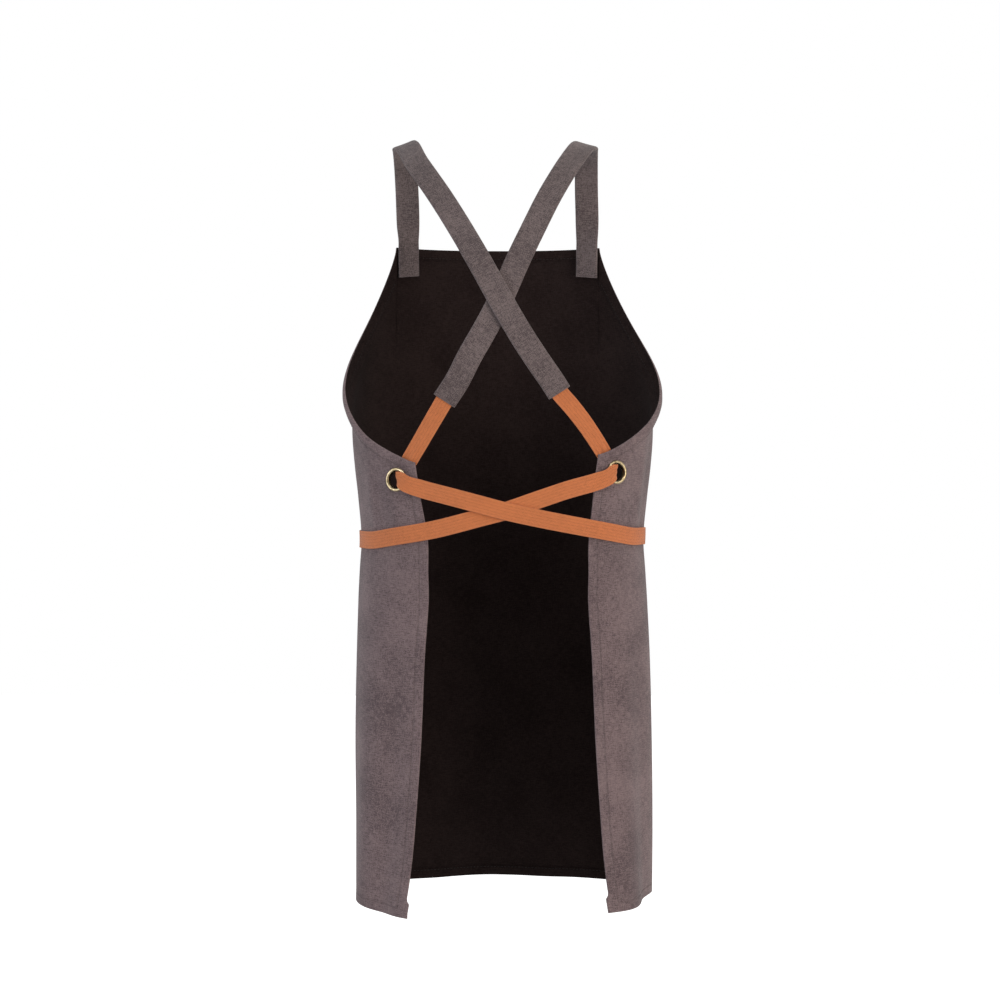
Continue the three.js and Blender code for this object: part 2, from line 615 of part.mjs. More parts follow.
// Knots of a shoulder strap, from behind the bib over the shoulder to its lower end.
function strapKnots(name) {
  const side = name === "left" ? -1 : 1;
  const slope = THREE.MathUtils.degToRad(name === "left" ? LEFT_SHOULDER_SLOPE : RIGHT_SHOULDER_SLOPE);
  const endDrop = name === "left" ? LEFT_STRAP_DROP : RIGHT_STRAP_DROP;
  const half = STRAP_THICKNESS / 2;
  const knots = [];
  const along = side * (BIB_HALF_WIDTH - STRAP_WIDTH / 2 - 2 * SEAT_GAP) - CLOTH_SHIFT;
  for (const below of [STRAP_ON_BIB, STRAP_ON_BIB / 2, 0, -STRAP_ON_BIB / 4]) {
    const drop = BIB_DROP + below;
    const cup = wrapNormal(along - 5, drop).angleTo(wrapNormal(along + 5, drop)) / 10;
    knots.push({ point: wrap(along, drop, BIB_STRAP_LIFT), outward: wrapNormal(along, drop), cup });
  }
  const place = (row, depth, outward) => {
    const aside = row[name] * BODY_HALF_WIDTH;
    const point = new THREE.Vector3(aside, row.reach * depth, -row.drop * SHOULDER_TO_HEM);
    knots.push({ point: point.addScaledVector(outward, half), outward });
  };
  const tilt = (share) => side * Math.tan(slope) * Math.exp(-share / 0.05);
  const facing = (forward, upward, share) => {
    const outward = new THREE.Vector3(0, forward, upward).normalize();
    outward.x = tilt(share);
    return outward.normalize();
  };
  for (const row of [...STRAPS_AHEAD].reverse()) {
    const lean = smoothStep(0, 0.6, row.reach);
    place(row, FRONT_DEPTH, facing(lean, 1 - lean, row.drop));
  }
  STRAPS_BEHIND.forEach((row, index) => {
    const after = STRAPS_BEHIND[Math.min(index + 1, STRAPS_BEHIND.length - 1)];
    const before = index ? STRAPS_BEHIND[index - 1] : STRAPS_AHEAD[0];
    const rise = (after.drop - before.drop) * SHOULDER_TO_HEM;
    const run = after.reach * BACK_DEPTH - (index ? before.reach * BACK_DEPTH : -before.reach * FRONT_DEPTH);
    place(row, -BACK_DEPTH, facing(-rise, run, row.drop));
  });
  if (name === "left") {
    const crossing = STRAPS_BEHIND.find((row) => row.left > row.right).drop * SHOULDER_TO_HEM;
    for (const knot of knots.slice(4)) {
      const away = Math.abs(-knot.point.z - crossing) / CROSSING_REACH;
      if (knot.point.y < 0) knot.point.y -= STRAP_OVER_STRAP * (1 - smoothStep(0.6, 2, away));
    }
  }
  const last = knots.findIndex((knot) => knot.point.y < 0 && -knot.point.z > endDrop - STRAP_WIDTH / 3);
  const kept = last < 0 ? knots : knots.slice(0, last);
  kept.push({ point: strapEnd(name, endDrop), outward: new THREE.Vector3(0, -1, 0) });
  return orient(kept);
}

// The middle of a strap's lower end.
function strapEnd(name, drop) {
  const share = drop / SHOULDER_TO_HEM;
  const across = readTable(STRAPS_BEHIND, "drop", name, share) * BODY_HALF_WIDTH;
  const reach = readTable(STRAPS_BEHIND, "drop", "reach", share) * BACK_DEPTH;
  return new THREE.Vector3(across, -reach - STRAP_THICKNESS / 2, -drop);
}

// The stretch of a strap's stations that its socket takes up, counted from its lower end.
function socketStations(stations) {
  const end = stations[stations.length - 1];
  const start = stations.findIndex((station) => station.point.distanceTo(end.point) <= STRAP_SOCKET);
  const first = stations[start - 1];
  const away = first.point.distanceTo(end.point);
  const share = (away - STRAP_SOCKET) / (away - stations[start].point.distanceTo(end.point));
  const bottom = {
    ...first,
    point: first.point.clone().lerp(stations[start].point, share),
    along: first.along.clone().lerp(stations[start].along, share).normalize(),
    across: first.across.clone().lerp(stations[start].across, share).normalize(),
  };
  return [bottom, ...stations.slice(start)];
}

// The strap with the socket in its lower end that the webbing is sewn into.
function strapSolid(stations) {
  const room = socketStations(stations).map((station) => ({
    ...station,
    width: WEBBING_WIDTH + 2 * SEAT_GAP,
    thickness: WEBBING_THICKNESS + 2 * SEAT_GAP,
  }));
  const end = room[room.length - 1];
  room.push({ ...end, point: end.point.clone().addScaledVector(end.along, STRAP_THICKNESS) });
  return toSolid(stripGeometry(stations, 2)).subtract(toSolid(stripGeometry(room, 1)));
}

// Knots of a webbing in the strap's socket, clear of its bottom.
function socketKnots(stations) {
  const room = socketStations(stations);
  const bottom = room[0].point.clone().addScaledVector(room[0].along, WEBBING_THICKNESS);
  return room.map((station, index) => ({
    point: index ? station.point.clone() : bottom,
    across: station.across.clone(),
  }));
}

// Knots of a webbing through its eyelet: in past the rolled lip, through the hole on the
// side of the wing's edge, bunched, and out over the domed rim.
function eyeletKnots(frame, arrival, departure) {
  const { centre, axis } = frame;
  const slack = 0.13 * WEBBING_THICKNESS;
  const rim = EYELET_DIAMETER / 2;
  const pass = 0.13 * EYELET_HOLE;
  const bend = (pass + rim) / 2;
  const inside = LIP_DEPTH + EYELET_WALL + SEAT_GAP + WEBBING_THICKNESS / 2 + FACET_ROOM;
  const outside = FLANGE_SEAT + EYELET_HEIGHT + SEAT_GAP + WEBBING_THICKNESS / 2 + FACET_ROOM;
  const lean = departure.clone().addScaledVector(arrival, 0.8).normalize();
  const acrossIn = arrival.clone().cross(axis).negate().normalize();
  const acrossOut = departure.clone().cross(axis).normalize().negate();
  const acrossHole = lean.clone().cross(axis).normalize().negate();
  const knot = (direction, reach, height, across, bunch) => ({
    point: centre.clone().addScaledVector(direction, reach).addScaledVector(axis, height),
    across: across.clone(),
    width: WEBBING_WIDTH - (WEBBING_WIDTH - BUNCHED_WIDTH) * bunch,
  });
  const between = (a, b) => a.clone().add(b).normalize();
  return [
    knot(arrival, rim + 2 * WEBBING_THICKNESS, -inside + slack, acrossIn, 0.1),
    knot(between(arrival, lean), bend + slack, -inside - SEAT_GAP, between(acrossIn, acrossHole), 0.55),
    knot(lean, pass + slack, -inside + slack, acrossHole, 0.97),
    knot(lean, pass, -LIP_DEPTH, acrossHole, 1),
    knot(lean, pass, FLANGE_SEAT + 2 * slack, acrossHole, 1),
    knot(lean, pass + 2.5 * slack, outside - 2 * slack, acrossHole, 0.95),
    knot(between(lean, departure), bend, outside + 3 * slack, between(acrossHole, acrossOut), 0.6),
    knot(departure, rim + WEBBING_THICKNESS, outside + slack, acrossOut, 0.3),
  ];
}

// Knots of a webbing from the strap's end to the point in front of the knot's side.
function webbingKnots(name, stations) {
  const eyeletSide = name === "left" ? -1 : 1;
  const frame = eyeletFrame(eyeletSide);
  const layer = name === "left" ? TIE_OVER_TIE : 0;
  const farSide = -eyeletSide;
  const pastRim = farSide * frame.centre.x + EYELET_DIAMETER / 2 + WEBBING_THICKNESS;
  const rows = name === "left" ? LEFT_TIE : RIGHT_TIE;
  const table = rows.filter((row) => row.across * BODY_HALF_WIDTH > pastRim);
  const knots = socketKnots(stations);
  const strapTip = knots[knots.length - 1].point;

  // Down to the wing's top edge and behind it
  const edgeAlong = eyeletSide * (CLOTH_HALF_GIRTH - 0.38 * EYELET_FROM_EDGE);
  const edge = clothPoint(edgeAlong, WING_DROP, INNER_LIFT);
  const edgeOut = wrapNormal(edgeAlong - CLOTH_SHIFT, WING_DROP);
  const back = new THREE.Vector3(0, -1, 0);
  const flight = edge.clone().sub(strapTip);
  for (const share of [0.25, 0.5, 0.75]) {
    const across = acrossOf(strapTip, edge, back.clone().lerp(edgeOut, share).normalize());
    const bow = name === "right" ? RIGHT_WEBBING_BOW * Math.sin(Math.PI * share) : 0;
    const point = strapTip.clone().addScaledVector(flight, share).addScaledVector(across, -bow);
    knots.push({ point, across });
  }
  knots.push({ point: edge, across: acrossOf(strapTip, edge, edgeOut) });
  const arrival = edge.clone().sub(frame.centre);
  arrival.addScaledVector(frame.axis, -arrival.dot(frame.axis)).normalize();

  // Through the eyelet
  const firstRow = table[0];
  const rowPoint = (row, lift) => {
    const drop = row.drop * SHOULDER_TO_HEM;
    const round = roundAtBack(farSide * row.across * BODY_HALF_WIDTH, drop);
    return { round, drop, point: wrap(round, drop, lift), outward: wrapNormal(round, drop).negate() };
  };
  const departure = rowPoint(firstRow, TIE_LIFT).point.sub(frame.centre);
  departure.addScaledVector(frame.axis, -departure.dot(frame.axis)).normalize();
  knots.push(...eyeletKnots(frame, arrival, departure));

  // Across the back
  const tie = table.map((row) => {
    const near = Math.abs(row.across) * BODY_HALF_WIDTH;
    return rowPoint(row, TIE_LIFT + layer * (1 - smoothStep(2, 6, near / WEBBING_WIDTH)));
  });

  // Round the far side to the front
  const last = tie[tie.length - 1];
  const full = 2 * ringAt(last.drop).half;
  const start = farSide > 0 ? last.round : full - last.round;
  const knotSide = KNOT_LENGTH / 2 + 3 * SEAT_GAP;
  const gatherStart = knotSide + 2.35 * WEBBING_WIDTH;
  const gatherMiddle = knotSide + 1.25 * WEBBING_WIDTH;
  const steps = Math.ceil((start - gatherStart) / (2 * STATION_STEP));
  const upper = name === "left";
  const layerLift = upper ? UPPER_LAYER : LOWER_LAYER;
  const at = (distance, drop, lift, extra = {}) => {
    const round = farSide * distance;
    return { point: wrap(round, drop, lift), outward: wrapNormal(round, drop).negate(), ...extra };
  };
  for (let step = 1; step <= steps; step += 1) {
    const share = step / steps;
    const distance = THREE.MathUtils.lerp(start, gatherStart, share);
    const drop = THREE.MathUtils.lerp(last.drop, WAIST_DROP, smoothStep(0, 1, share));
    const climb = upper ? (layerLift - TIE_LIFT) * smoothStep(0.9, 1, share) * 0.5 : 0;
    tie.push(at(distance, drop, TIE_LIFT + climb));
  }

  // Gathered through the knot, out at its other side and down
  const tight = { width: GATHERED_WIDTH, thickness: GATHERED_THICKNESS };
  tie.push(at(gatherMiddle, WAIST_DROP, THREE.MathUtils.lerp(TIE_LIFT, layerLift, upper ? 0.9 : 0.6), {
    width: (WEBBING_WIDTH + 2 * GATHERED_WIDTH) / 3,
    thickness: GATHERED_THICKNESS * 0.75,
  }));
  const exit = knotSide + GATHERED_WIDTH / 4;
  tie.push(at(knotSide + GATHERED_WIDTH / 2, WAIST_DROP, layerLift, tight));
  tie.push(at(0, WAIST_DROP, layerLift, tight));
  tie.push(at(-exit, WAIST_DROP, layerLift, tight));
  orient(tie);
  const tailAt = -exit - 1.2 * GATHERED_WIDTH;
  const tailTop = WAIST_DROP + 1.3 * GATHERED_WIDTH;
  const down = acrossOf(wrap(0, WAIST_DROP), wrap(0, WAIST_DROP + 10), wrapNormal(0, WAIST_DROP).negate());
  const turn = at(tailAt + GATHERED_WIDTH / 4, WAIST_DROP + 0.38 * GATHERED_WIDTH, layerLift, tight);
  turn.across = tie[tie.length - 1].across.clone().add(down).normalize();
  tie.push(turn);
  const restLift = TIE_LIFT + (upper ? GATHERED_THICKNESS : WEBBING_THICKNESS);
  for (const share of [0, 0.08, 0.2, 0.4, 0.6, 0.8, 1]) {
    const settle = smoothStep(0, 0.3, share);
    const drop = tailTop + share * (TAIL_LENGTH - tailTop + WAIST_DROP);
    const lift = THREE.MathUtils.lerp(layerLift, restLift, settle);
    const spread = smoothStep(0, 0.2, share);
    tie.push({
      ...at(tailAt - TAIL_DRIFT * share, drop, lift),
      across: down.clone(),
      width: THREE.MathUtils.lerp(GATHERED_WIDTH, WEBBING_WIDTH, spread),
      thickness: THREE.MathUtils.lerp(GATHERED_THICKNESS, WEBBING_THICKNESS, spread),
    });
  }
  return [...knots, ...tie];
}

// The knot: a plain band wrapped round both gathered ties.
function knotGeometry() {
  const innerHeight = GATHERED_WIDTH + 4 * SEAT_GAP;
  const outerHeight = innerHeight + 2 * KNOT_WALL;
  const innerDepth = KNOT_DEPTH;
  const outerDepth = innerDepth + 2 * KNOT_WALL;
  const rounded = (path, depth, height, radius) => {
    const [x, y] = [depth / 2, height / 2];
    path.moveTo(-x + radius, -y).lineTo(x - radius, -y);
    path.absarc(x - radius, -y + radius, radius, -Math.PI / 2, 0);
    path.absarc(x - radius, y - radius, radius, 0, Math.PI / 2);
    path.absarc(-x + radius, y - radius, radius, Math.PI / 2, Math.PI);
    path.absarc(-x + radius, -y + radius, radius, Math.PI, 1.5 * Math.PI);
    return path;
  };
  const shape = rounded(new THREE.Shape(), outerDepth, outerHeight, 1.8 * KNOT_WALL);
  shape.holes.push(rounded(new THREE.Path(), innerDepth, innerHeight, SEAT_GAP));
  const settings = { depth: KNOT_LENGTH, bevelEnabled: false, curveSegments: 4 };
  const geometry = new THREE.ExtrudeGeometry(shape, settings);
  const outward = wrapNormal(0, WAIST_DROP);
  const sideways = UP.clone().cross(outward).negate().normalize();
  const up = sideways.clone().cross(outward).negate().normalize();
  const lift = KNOT_LIFT + outerDepth / 2;
  const lengthwise = outward.clone().cross(up);
  const start = wrap(0, WAIST_DROP, lift).addScaledVector(lengthwise, -KNOT_LENGTH / 2);
  geometry.applyMatrix4(new THREE.Matrix4().makeBasis(outward, up, lengthwise).setPosition(start));
  return geometry;
}

const CANVAS = new THREE.MeshStandardMaterial({ color: 0x6b6061, roughness: 0.92, metalness: 0 });
const STRAP_CANVAS = new THREE.MeshStandardMaterial({ color: 0x5d5253, roughness: 0.92, metalness: 0 });
const WEBBING = new THREE.MeshStandardMaterial({ color: 0xb9703f, roughness: 0.8, metalness: 0 });
const BRASS = new THREE.MeshStandardMaterial({ color: 0xb59a5e, roughness: 0.35, metalness: 1 });

const apron = new THREE.Group();

function addPiece(name, geometry, material) {
  const mesh = new THREE.Mesh(geometry, material);
  mesh.name = name;
  apron.add(mesh);
}

const eyelets = { left: eyeletFrame(-1), right: eyeletFrame(1) };
const cuts = Object.values(eyelets).map(eyeletCut);
const panel = cuts.reduce((solid, cut) => solid.subtract(cut), toSolid(panelGeometry()));
addPiece("apron_panel", toGeometry(panel), CANVAS);

const straps = {};
for (const name of ["left", "right"]) {
  straps[name] = layStations(strapKnots(name), STRAP_WIDTH, STRAP_THICKNESS);
  addPiece(`shoulder_strap_${name}`, toGeometry(strapSolid(straps[name])), STRAP_CANVAS);
}

// Each webbing is named after its eyelet and comes from the other shoulder's strap.
const carrier = { left: straps.right, right: straps.left };
for (const name of ["left", "right"]) {
  const stations = layStations(webbingKnots(name, carrier[name]), WEBBING_WIDTH, WEBBING_THICKNESS);
  addPiece(`webbing_${name}`, stripGeometry(stations, 4), WEBBING);
  addPiece(`eyelet_${name}`, toGeometry(eyeletSolid(eyelets[name])), BRASS);
  addPiece(`eyelet_washer_${name}`, toGeometry(washerSolid(eyelets[name])), BRASS);
}
addPiece("waist_knot", knotGeometry(), WEBBING);

export default apron;
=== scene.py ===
"""Cross back work apron in its worn form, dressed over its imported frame.

The frame holds the apron's solids. Finer cloth, shoulder straps, webbing ties, brass eyelets and
stitching are laid in the same places, each with a finish of its own, and a pale studio is set
round them. Lengths in the classes are millimetres, and become metres where a mesh is made.
+Z is up, +Y is the front, +X is the right when the apron is seen from behind.
"""

from __future__ import annotations

import logging
import math
from dataclasses import dataclass, field
from enum import Enum
from functools import cached_property
from typing import Callable, NamedTuple, Sequence

import bmesh
import bpy
import numpy as np
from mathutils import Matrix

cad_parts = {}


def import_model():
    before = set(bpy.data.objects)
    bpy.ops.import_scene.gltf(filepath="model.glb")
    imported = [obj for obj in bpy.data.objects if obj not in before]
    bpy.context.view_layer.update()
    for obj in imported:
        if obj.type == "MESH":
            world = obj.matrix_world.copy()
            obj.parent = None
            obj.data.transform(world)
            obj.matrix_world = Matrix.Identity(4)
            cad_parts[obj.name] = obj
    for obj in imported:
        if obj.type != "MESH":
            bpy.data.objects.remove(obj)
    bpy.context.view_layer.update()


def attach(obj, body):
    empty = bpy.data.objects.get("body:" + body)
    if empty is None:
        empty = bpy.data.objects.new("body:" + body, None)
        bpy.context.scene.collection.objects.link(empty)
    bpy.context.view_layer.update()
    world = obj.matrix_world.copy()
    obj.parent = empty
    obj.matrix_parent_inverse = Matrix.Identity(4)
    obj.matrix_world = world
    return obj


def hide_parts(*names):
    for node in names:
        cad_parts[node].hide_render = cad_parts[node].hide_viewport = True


LOG = logging.getLogger("cross_back_apron")
MM = 0.001
UP = np.array([0.0, 0.0, 1.0])
BACKWARD = np.array([0.0, -1.0, 0.0])

Array = np.ndarray
Colour = tuple[float, float, float]
Socket = bpy.types.NodeSocket


class Side(Enum):
    """The two sides of the apron, seen from behind."""

    LEFT = -1
    RIGHT = 1

    @property
    def label(self) -> str:
        """The side's name as the frame's nodes spell it."""
        return self.name.lower()

    @property
    def other(self) -> Side:
        """The opposite side."""
        return Side(-self.value)


class Section(NamedTuple):
    """One level section of the cloth, as shares of the form's sizes."""

    drop: float
    half_width: float
    front: float
    back: float


class Fold(NamedTuple):
    """A soft upright fold of the skirt, as shares of the cloth's half girth and front depth."""

    place: float
    width: float
    depth: float


class Crease(NamedTuple):
    """A local fold of the cloth, in millimetres of the flat cloth."""

    along: float
    drop: float
    width: float
    length: float
    depth: float
    lean: float


class StrapRow(NamedTuple):
    """A place on both shoulder straps, as shares of the form's depth, drop and half width."""

    reach: float
    drop: float
    left: float
    right: float


class TieRow(NamedTuple):
    """A place on a tie across the back, as shares of the half width and the drop."""

    across: float
    drop: float


SECTIONS = (
    Section(0.064, 0.86, 0.68, 0.78),
    Section(0.124, 0.91, 0.82, 0.88),
    Section(0.22, 0.97, 0.965, 0.95),
    Section(0.295, 1.0, 0.955, 0.98),
    Section(0.336, 1.008, 0.94, 0.985),
    Section(0.384, 1.012, 0.914, 0.99),
    Section(0.426, 0.996, 0.902, 1.0),
    Section(0.468, 0.971, 0.887, 1.034),
    Section(0.521, 0.948, 0.867, 1.038),
    Section(0.563, 0.961, 0.891, 0.962),
    Section(0.602, 0.972, 0.91, 0.898),
    Section(0.673, 0.984, 0.93, 0.886),
    Section(0.792, 0.994, 0.961, 0.873),
    Section(0.906, 0.994, 0.984, 0.936),
    Section(0.956, 0.993, 0.992, 0.992),
    Section(1.0, 0.992, 1.0, 1.07),
)
FOLDS = (
    Fold(-0.93, 0.045, -0.03),
    Fold(-0.83, 0.06, 0.045),
    Fold(-0.72, 0.05, -0.03),
    Fold(-0.42, 0.07, 0.035),
    Fold(-0.24, 0.08, -0.045),
    Fold(-0.05, 0.08, 0.03),
    Fold(0.15, 0.08, -0.04),
    Fold(0.4, 0.07, 0.04),
    Fold(0.71, 0.035, 0.02),
    Fold(0.8, 0.04, -0.03),
    Fold(0.9, 0.06, 0.03),
)
CREASES = (
    Crease(-296, 412, 7, 42, 1.7, 0.1),
    Crease(-312, 420, 9, 40, -1.2, 0.1),
    Crease(-272, 400, 12, 60, -1.0, 0.0),
    Crease(-330, 432, 6, 22, 0.8, 0.3),
    Crease(296, 400, 8, 60, 1.6, -0.04),
    Crease(281, 405, 8, 55, -1.2, -0.04),
    Crease(318, 430, 12, 34, -0.8, 0.0),
    Crease(-260, 620, 20, 120, 1.2, 0.03),
    Crease(275, 640, 16, 130, 1.3, -0.02),
    Crease(60, 430, 26, 60, 1.4, 0.1),
    Crease(-75, 440, 24, 70, 1.5, -0.1),
)
STRAPS_BEHIND = (
    StrapRow(0.0, 0.0, -0.667, 0.566),
    StrapRow(0.15, 0.006, -0.632, 0.528),
    StrapRow(0.38, 0.03, -0.572, 0.449),
    StrapRow(0.55, 0.057, -0.485, 0.37),
    StrapRow(0.67, 0.084, -0.397, 0.296),
    StrapRow(0.805, 0.124, -0.276, 0.199),
    StrapRow(0.89, 0.164, -0.161, 0.103),
    StrapRow(0.95, 0.223, 0.003, -0.029),
    StrapRow(0.975, 0.259, 0.109, -0.126),
    StrapRow(0.985, 0.289, 0.207, -0.213),
    StrapRow(0.985, 0.32, 0.316, -0.293),
    StrapRow(0.98, 0.352, 0.42, -0.399),
)
STRAPS_AHEAD = (
    StrapRow(0.1, 0.003, -0.667, 0.57),
    StrapRow(0.27, 0.018, -0.665, 0.575),
    StrapRow(0.43, 0.048, -0.662, 0.582),
    StrapRow(0.53, 0.08, -0.66, 0.59),
)
TIE_ROWS = {
    Side.LEFT: (
        TieRow(-0.52, 0.457),
        TieRow(-0.33, 0.467),
        TieRow(-0.14, 0.477),
        TieRow(0.03, 0.486),
        TieRow(0.24, 0.495),
        TieRow(0.42, 0.502),
        TieRow(0.58, 0.508),
        TieRow(0.71, 0.513),
        TieRow(0.84, 0.518),
    ),
    Side.RIGHT: (
        TieRow(-0.6, 0.448),
        TieRow(-0.42, 0.458),
        TieRow(-0.24, 0.47),
        TieRow(-0.02, 0.485),
        TieRow(0.15, 0.494),
        TieRow(0.4, 0.507),
        TieRow(0.55, 0.513),
        TieRow(0.7, 0.518),
        TieRow(0.84, 0.523),
    ),
}


def smooth_step(low: float, high: float, value: Array | float) -> Array:
    """Eases from 0 at low to 1 at high.

    Args:
        low: The value that gives 0.
        high: The value that gives 1.
        value: The values to ease.

    Returns:
        The eased shares, in the form of value.
    """
    share = np.clip((np.asarray(value, float) - low) / (high - low), 0.0, 1.0)
    return share * share * (3.0 - 2.0 * share)


def mix(first: Array | float, second: Array | float, share: Array | float) -> Array | float:
    """The value at a share of the way from first to second."""
    return first + (second - first) * share


def bell(distance: Array | float, width: float) -> Array:
    """A soft bump of height 1 that fades over width."""
    return np.exp(-((np.asarray(distance, float) / width) ** 2))


def unit(vectors: Array) -> Array:
    """The vectors, each brought to length 1."""
    return vectors / np.maximum(np.linalg.norm(vectors, axis=-1, keepdims=True), 1e-12)


def run_of(points: Array) -> Array:
    """The length along a line of points, up to each of them."""
    steps = np.linalg.norm(np.diff(points, axis=0), axis=1)
    return np.concatenate([[0.0], np.cumsum(steps)])


def surface_steps(
    lay: Callable[..., Array], along: Array | float, drop: Array | float, reach: float
) -> tuple[Array, Array]:
    """Steps across a laid surface.

    Args:
        lay: The function that lays the surface.
        along: Place along the surface.
        drop: Distance below the shoulders.
        reach: Half the length of a step.

    Returns:
        The step to the right and the step upwards.
    """
    sideways = lay(along + reach, drop) - lay(along - reach, drop)
    upwards = lay(along, drop - reach) - lay(along, drop + reach)
    return sideways, upwards


def read_rows(rows: Sequence[NamedTuple], key: str, column: str, value: Array | float) -> Array:
    """Reads one column of a table between its rows, along a smooth curve through them.

    Args:
        rows: The table, in rising order of its key.
        key: The name of the column that value is looked up in.
        column: The name of the column to read.
        value: Where to read.

    Returns:
        The column's values there.
    """
    keys = np.array([getattr(row, key) for row in rows])
    data = np.array([getattr(row, column) for row in rows])
    before = np.maximum(np.arange(len(rows)) - 1, 0)
    after = np.minimum(np.arange(len(rows)) + 1, len(rows) - 1)
    slopes = (data[after] - data[before]) / (keys[after] - keys[before])
    low = np.clip(np.searchsorted(keys, value, side="right") - 1, 0, len(rows) - 2)
    span = keys[low + 1] - keys[low]
    share = np.clip((value - keys[low]) / span, 0.0, 1.0)
    square, cube = share**2, share**3
    return (
        data[low] * (2 * cube - 3 * square + 1)
        + slopes[low] * span * (cube - 2 * square + share)
        + data[low + 1] * (3 * square - 2 * cube)
        + slopes[low + 1] * span * (cube - square)
    )


@dataclass
class WornForm:
    """The hollow form that the cloth wraps when the apron is worn."""

    shoulder_to_hem: float = 883.0
    half_width: float = 174.0
    front_depth: float = 128.0
    back_depth: float = 118.0
    front_power: float = 2.3
    back_power: float = 2.4
    cloth_half_girth: float = 366.5
    waist_drop: float = 460.0
    first_drop: float = 40.0
    ring_pitch: float = 2.5
    ring_steps: int = 480
    divisions: int = 420
    slope_reach: float = 4.0

    def __post_init__(self) -> None:
        """Lays out the level sections, each divided into equal lengths."""
        drops = np.arange(self.first_drop, self.shoulder_to_hem + 4 * self.ring_pitch, self.ring_pitch)
        shares = drops / self.shoulder_to_hem
        widths = self.half_width * read_rows(SECTIONS, "drop", "half_width", shares)
        fronts = self.front_depth * read_rows(SECTIONS, "drop", "front", shares)
        backs = self.back_depth * read_rows(SECTIONS, "drop", "back", shares)
        angle = np.linspace(0.0, math.pi, self.ring_steps + 1)
        sine, cosine = np.maximum(np.sin(angle), 0.0), np.cos(angle)
        power = np.where(cosine > 0, 2 / self.front_power, 2 / self.back_power)
        x = widths[:, None] * sine**power
        y = np.where(cosine > 0, fronts[:, None], -backs[:, None]) * np.abs(cosine) ** power
        steps = np.hypot(np.diff(x, axis=1), np.diff(y, axis=1))
        lengths = np.concatenate([np.zeros((len(drops), 1)), np.cumsum(steps, axis=1)], axis=1)
        self.halves = lengths[:, -1]
        even = np.linspace(0.0, 1.0, self.divisions + 1)
        rows = range(len(drops))
        self.ring_x = np.array([np.interp(even * self.halves[i], lengths[i], x[i]) for i in rows])
        self.ring_y = np.array([np.interp(even * self.halves[i], lengths[i], y[i]) for i in rows])

    def half_length(self, drop: Array | float) -> Array:
        """Half the length round the section at a drop."""
        row = (np.asarray(drop, float) - self.first_drop) / self.ring_pitch
        return np.interp(row, np.arange(len(self.halves)), self.halves)

    def fold_lift(self, round_: Array | float, drop: Array | float) -> Array:
        """How far the skirt's soft folds stand out, fading out at the waist.

        Args:
            round_: Length along the level section from the centre front.
            drop: Distance below the shoulders.

        Returns:
            The heights over the smooth form.
        """
        share = np.asarray(round_, float) / self.cloth_half_girth
        total = sum(fold.depth * bell(share - fold.place, fold.width) for fold in FOLDS)
        return smooth_step(self.waist_drop, self.shoulder_to_hem, drop) * self.front_depth * total

    def wrap(self, round_: Array | float, drop: Array | float, lift: Array | float = 0.0) -> Array:
        """Points of the wrapped surface.

        Args:
            round_: Length along the level section from the centre front, + to the right.
            drop: Distance below the shoulders.
            lift: Height over the middle of the cloth.

        Returns:
            The points, with a last axis of three.
        """
        length, drop, lift = np.broadcast_arrays(
            np.asarray(round_, float), np.asarray(drop, float), np.asarray(lift, float)
        )
        row = np.clip((drop - self.first_drop) / self.ring_pitch, 0, len(self.halves) - 1 - 1e-6)
        low = row.astype(int)
        down = row - low
        half = mix(self.halves[low], self.halves[low + 1], down)
        folded = (length + half) % (2 * half) - half
        side = np.where(folded < 0, -1.0, 1.0)
        place = np.clip(np.abs(folded) / half * self.divisions, 0, self.divisions - 1e-6)
        near = place.astype(int)
        on = place - near
        start, end = (
            [mix(ring[low, column], ring[low + 1, column], down) for ring in (self.ring_x, self.ring_y)]
            for column in (near, near + 1)
        )
        run = np.maximum(np.hypot(end[0] - start[0], end[1] - start[1]), 1e-9)
        height = lift + self.fold_lift(length, drop)
        x = mix(start[0], end[0], on) - (end[1] - start[1]) / run * height
        y = mix(start[1], end[1], on) + (end[0] - start[0]) / run * height
        return np.stack([side * x, y, -drop], axis=-1)

    def outward(self, round_: Array | float, drop: Array | float) -> Array:
        """Outward directions of the wrapped surface, square to it.

        Args:
            round_: Length along the level section from the centre front.
            drop: Distance below the shoulders.

        Returns:
            The directions, each of length 1.
        """
        round_, drop = np.asarray(round_, float), np.asarray(drop, float)
        sideways, upwards = surface_steps(self.wrap, round_, drop, self.slope_reach)
        return unit(np.cross(upwards, sideways))

    def round_at_back(self, across: float, drop: float) -> float:
        """The length round at which the back of the section reaches a given x.

        Args:
            across: The x to reach.
            drop: Distance below the shoulders.

        Returns:
            The length round.
        """
        row = int(round((drop - self.first_drop) / self.ring_pitch))
        x = self.ring_x[row]
        widest = int(np.argmax(x))
        lengths = np.linspace(0.0, self.halves[row], self.divisions + 1)
        found = float(np.interp(abs(across), x[widest:][::-1], lengths[widest:][::-1]))
        return 2 * float(self.halves[row]) - found if across < 0 else found


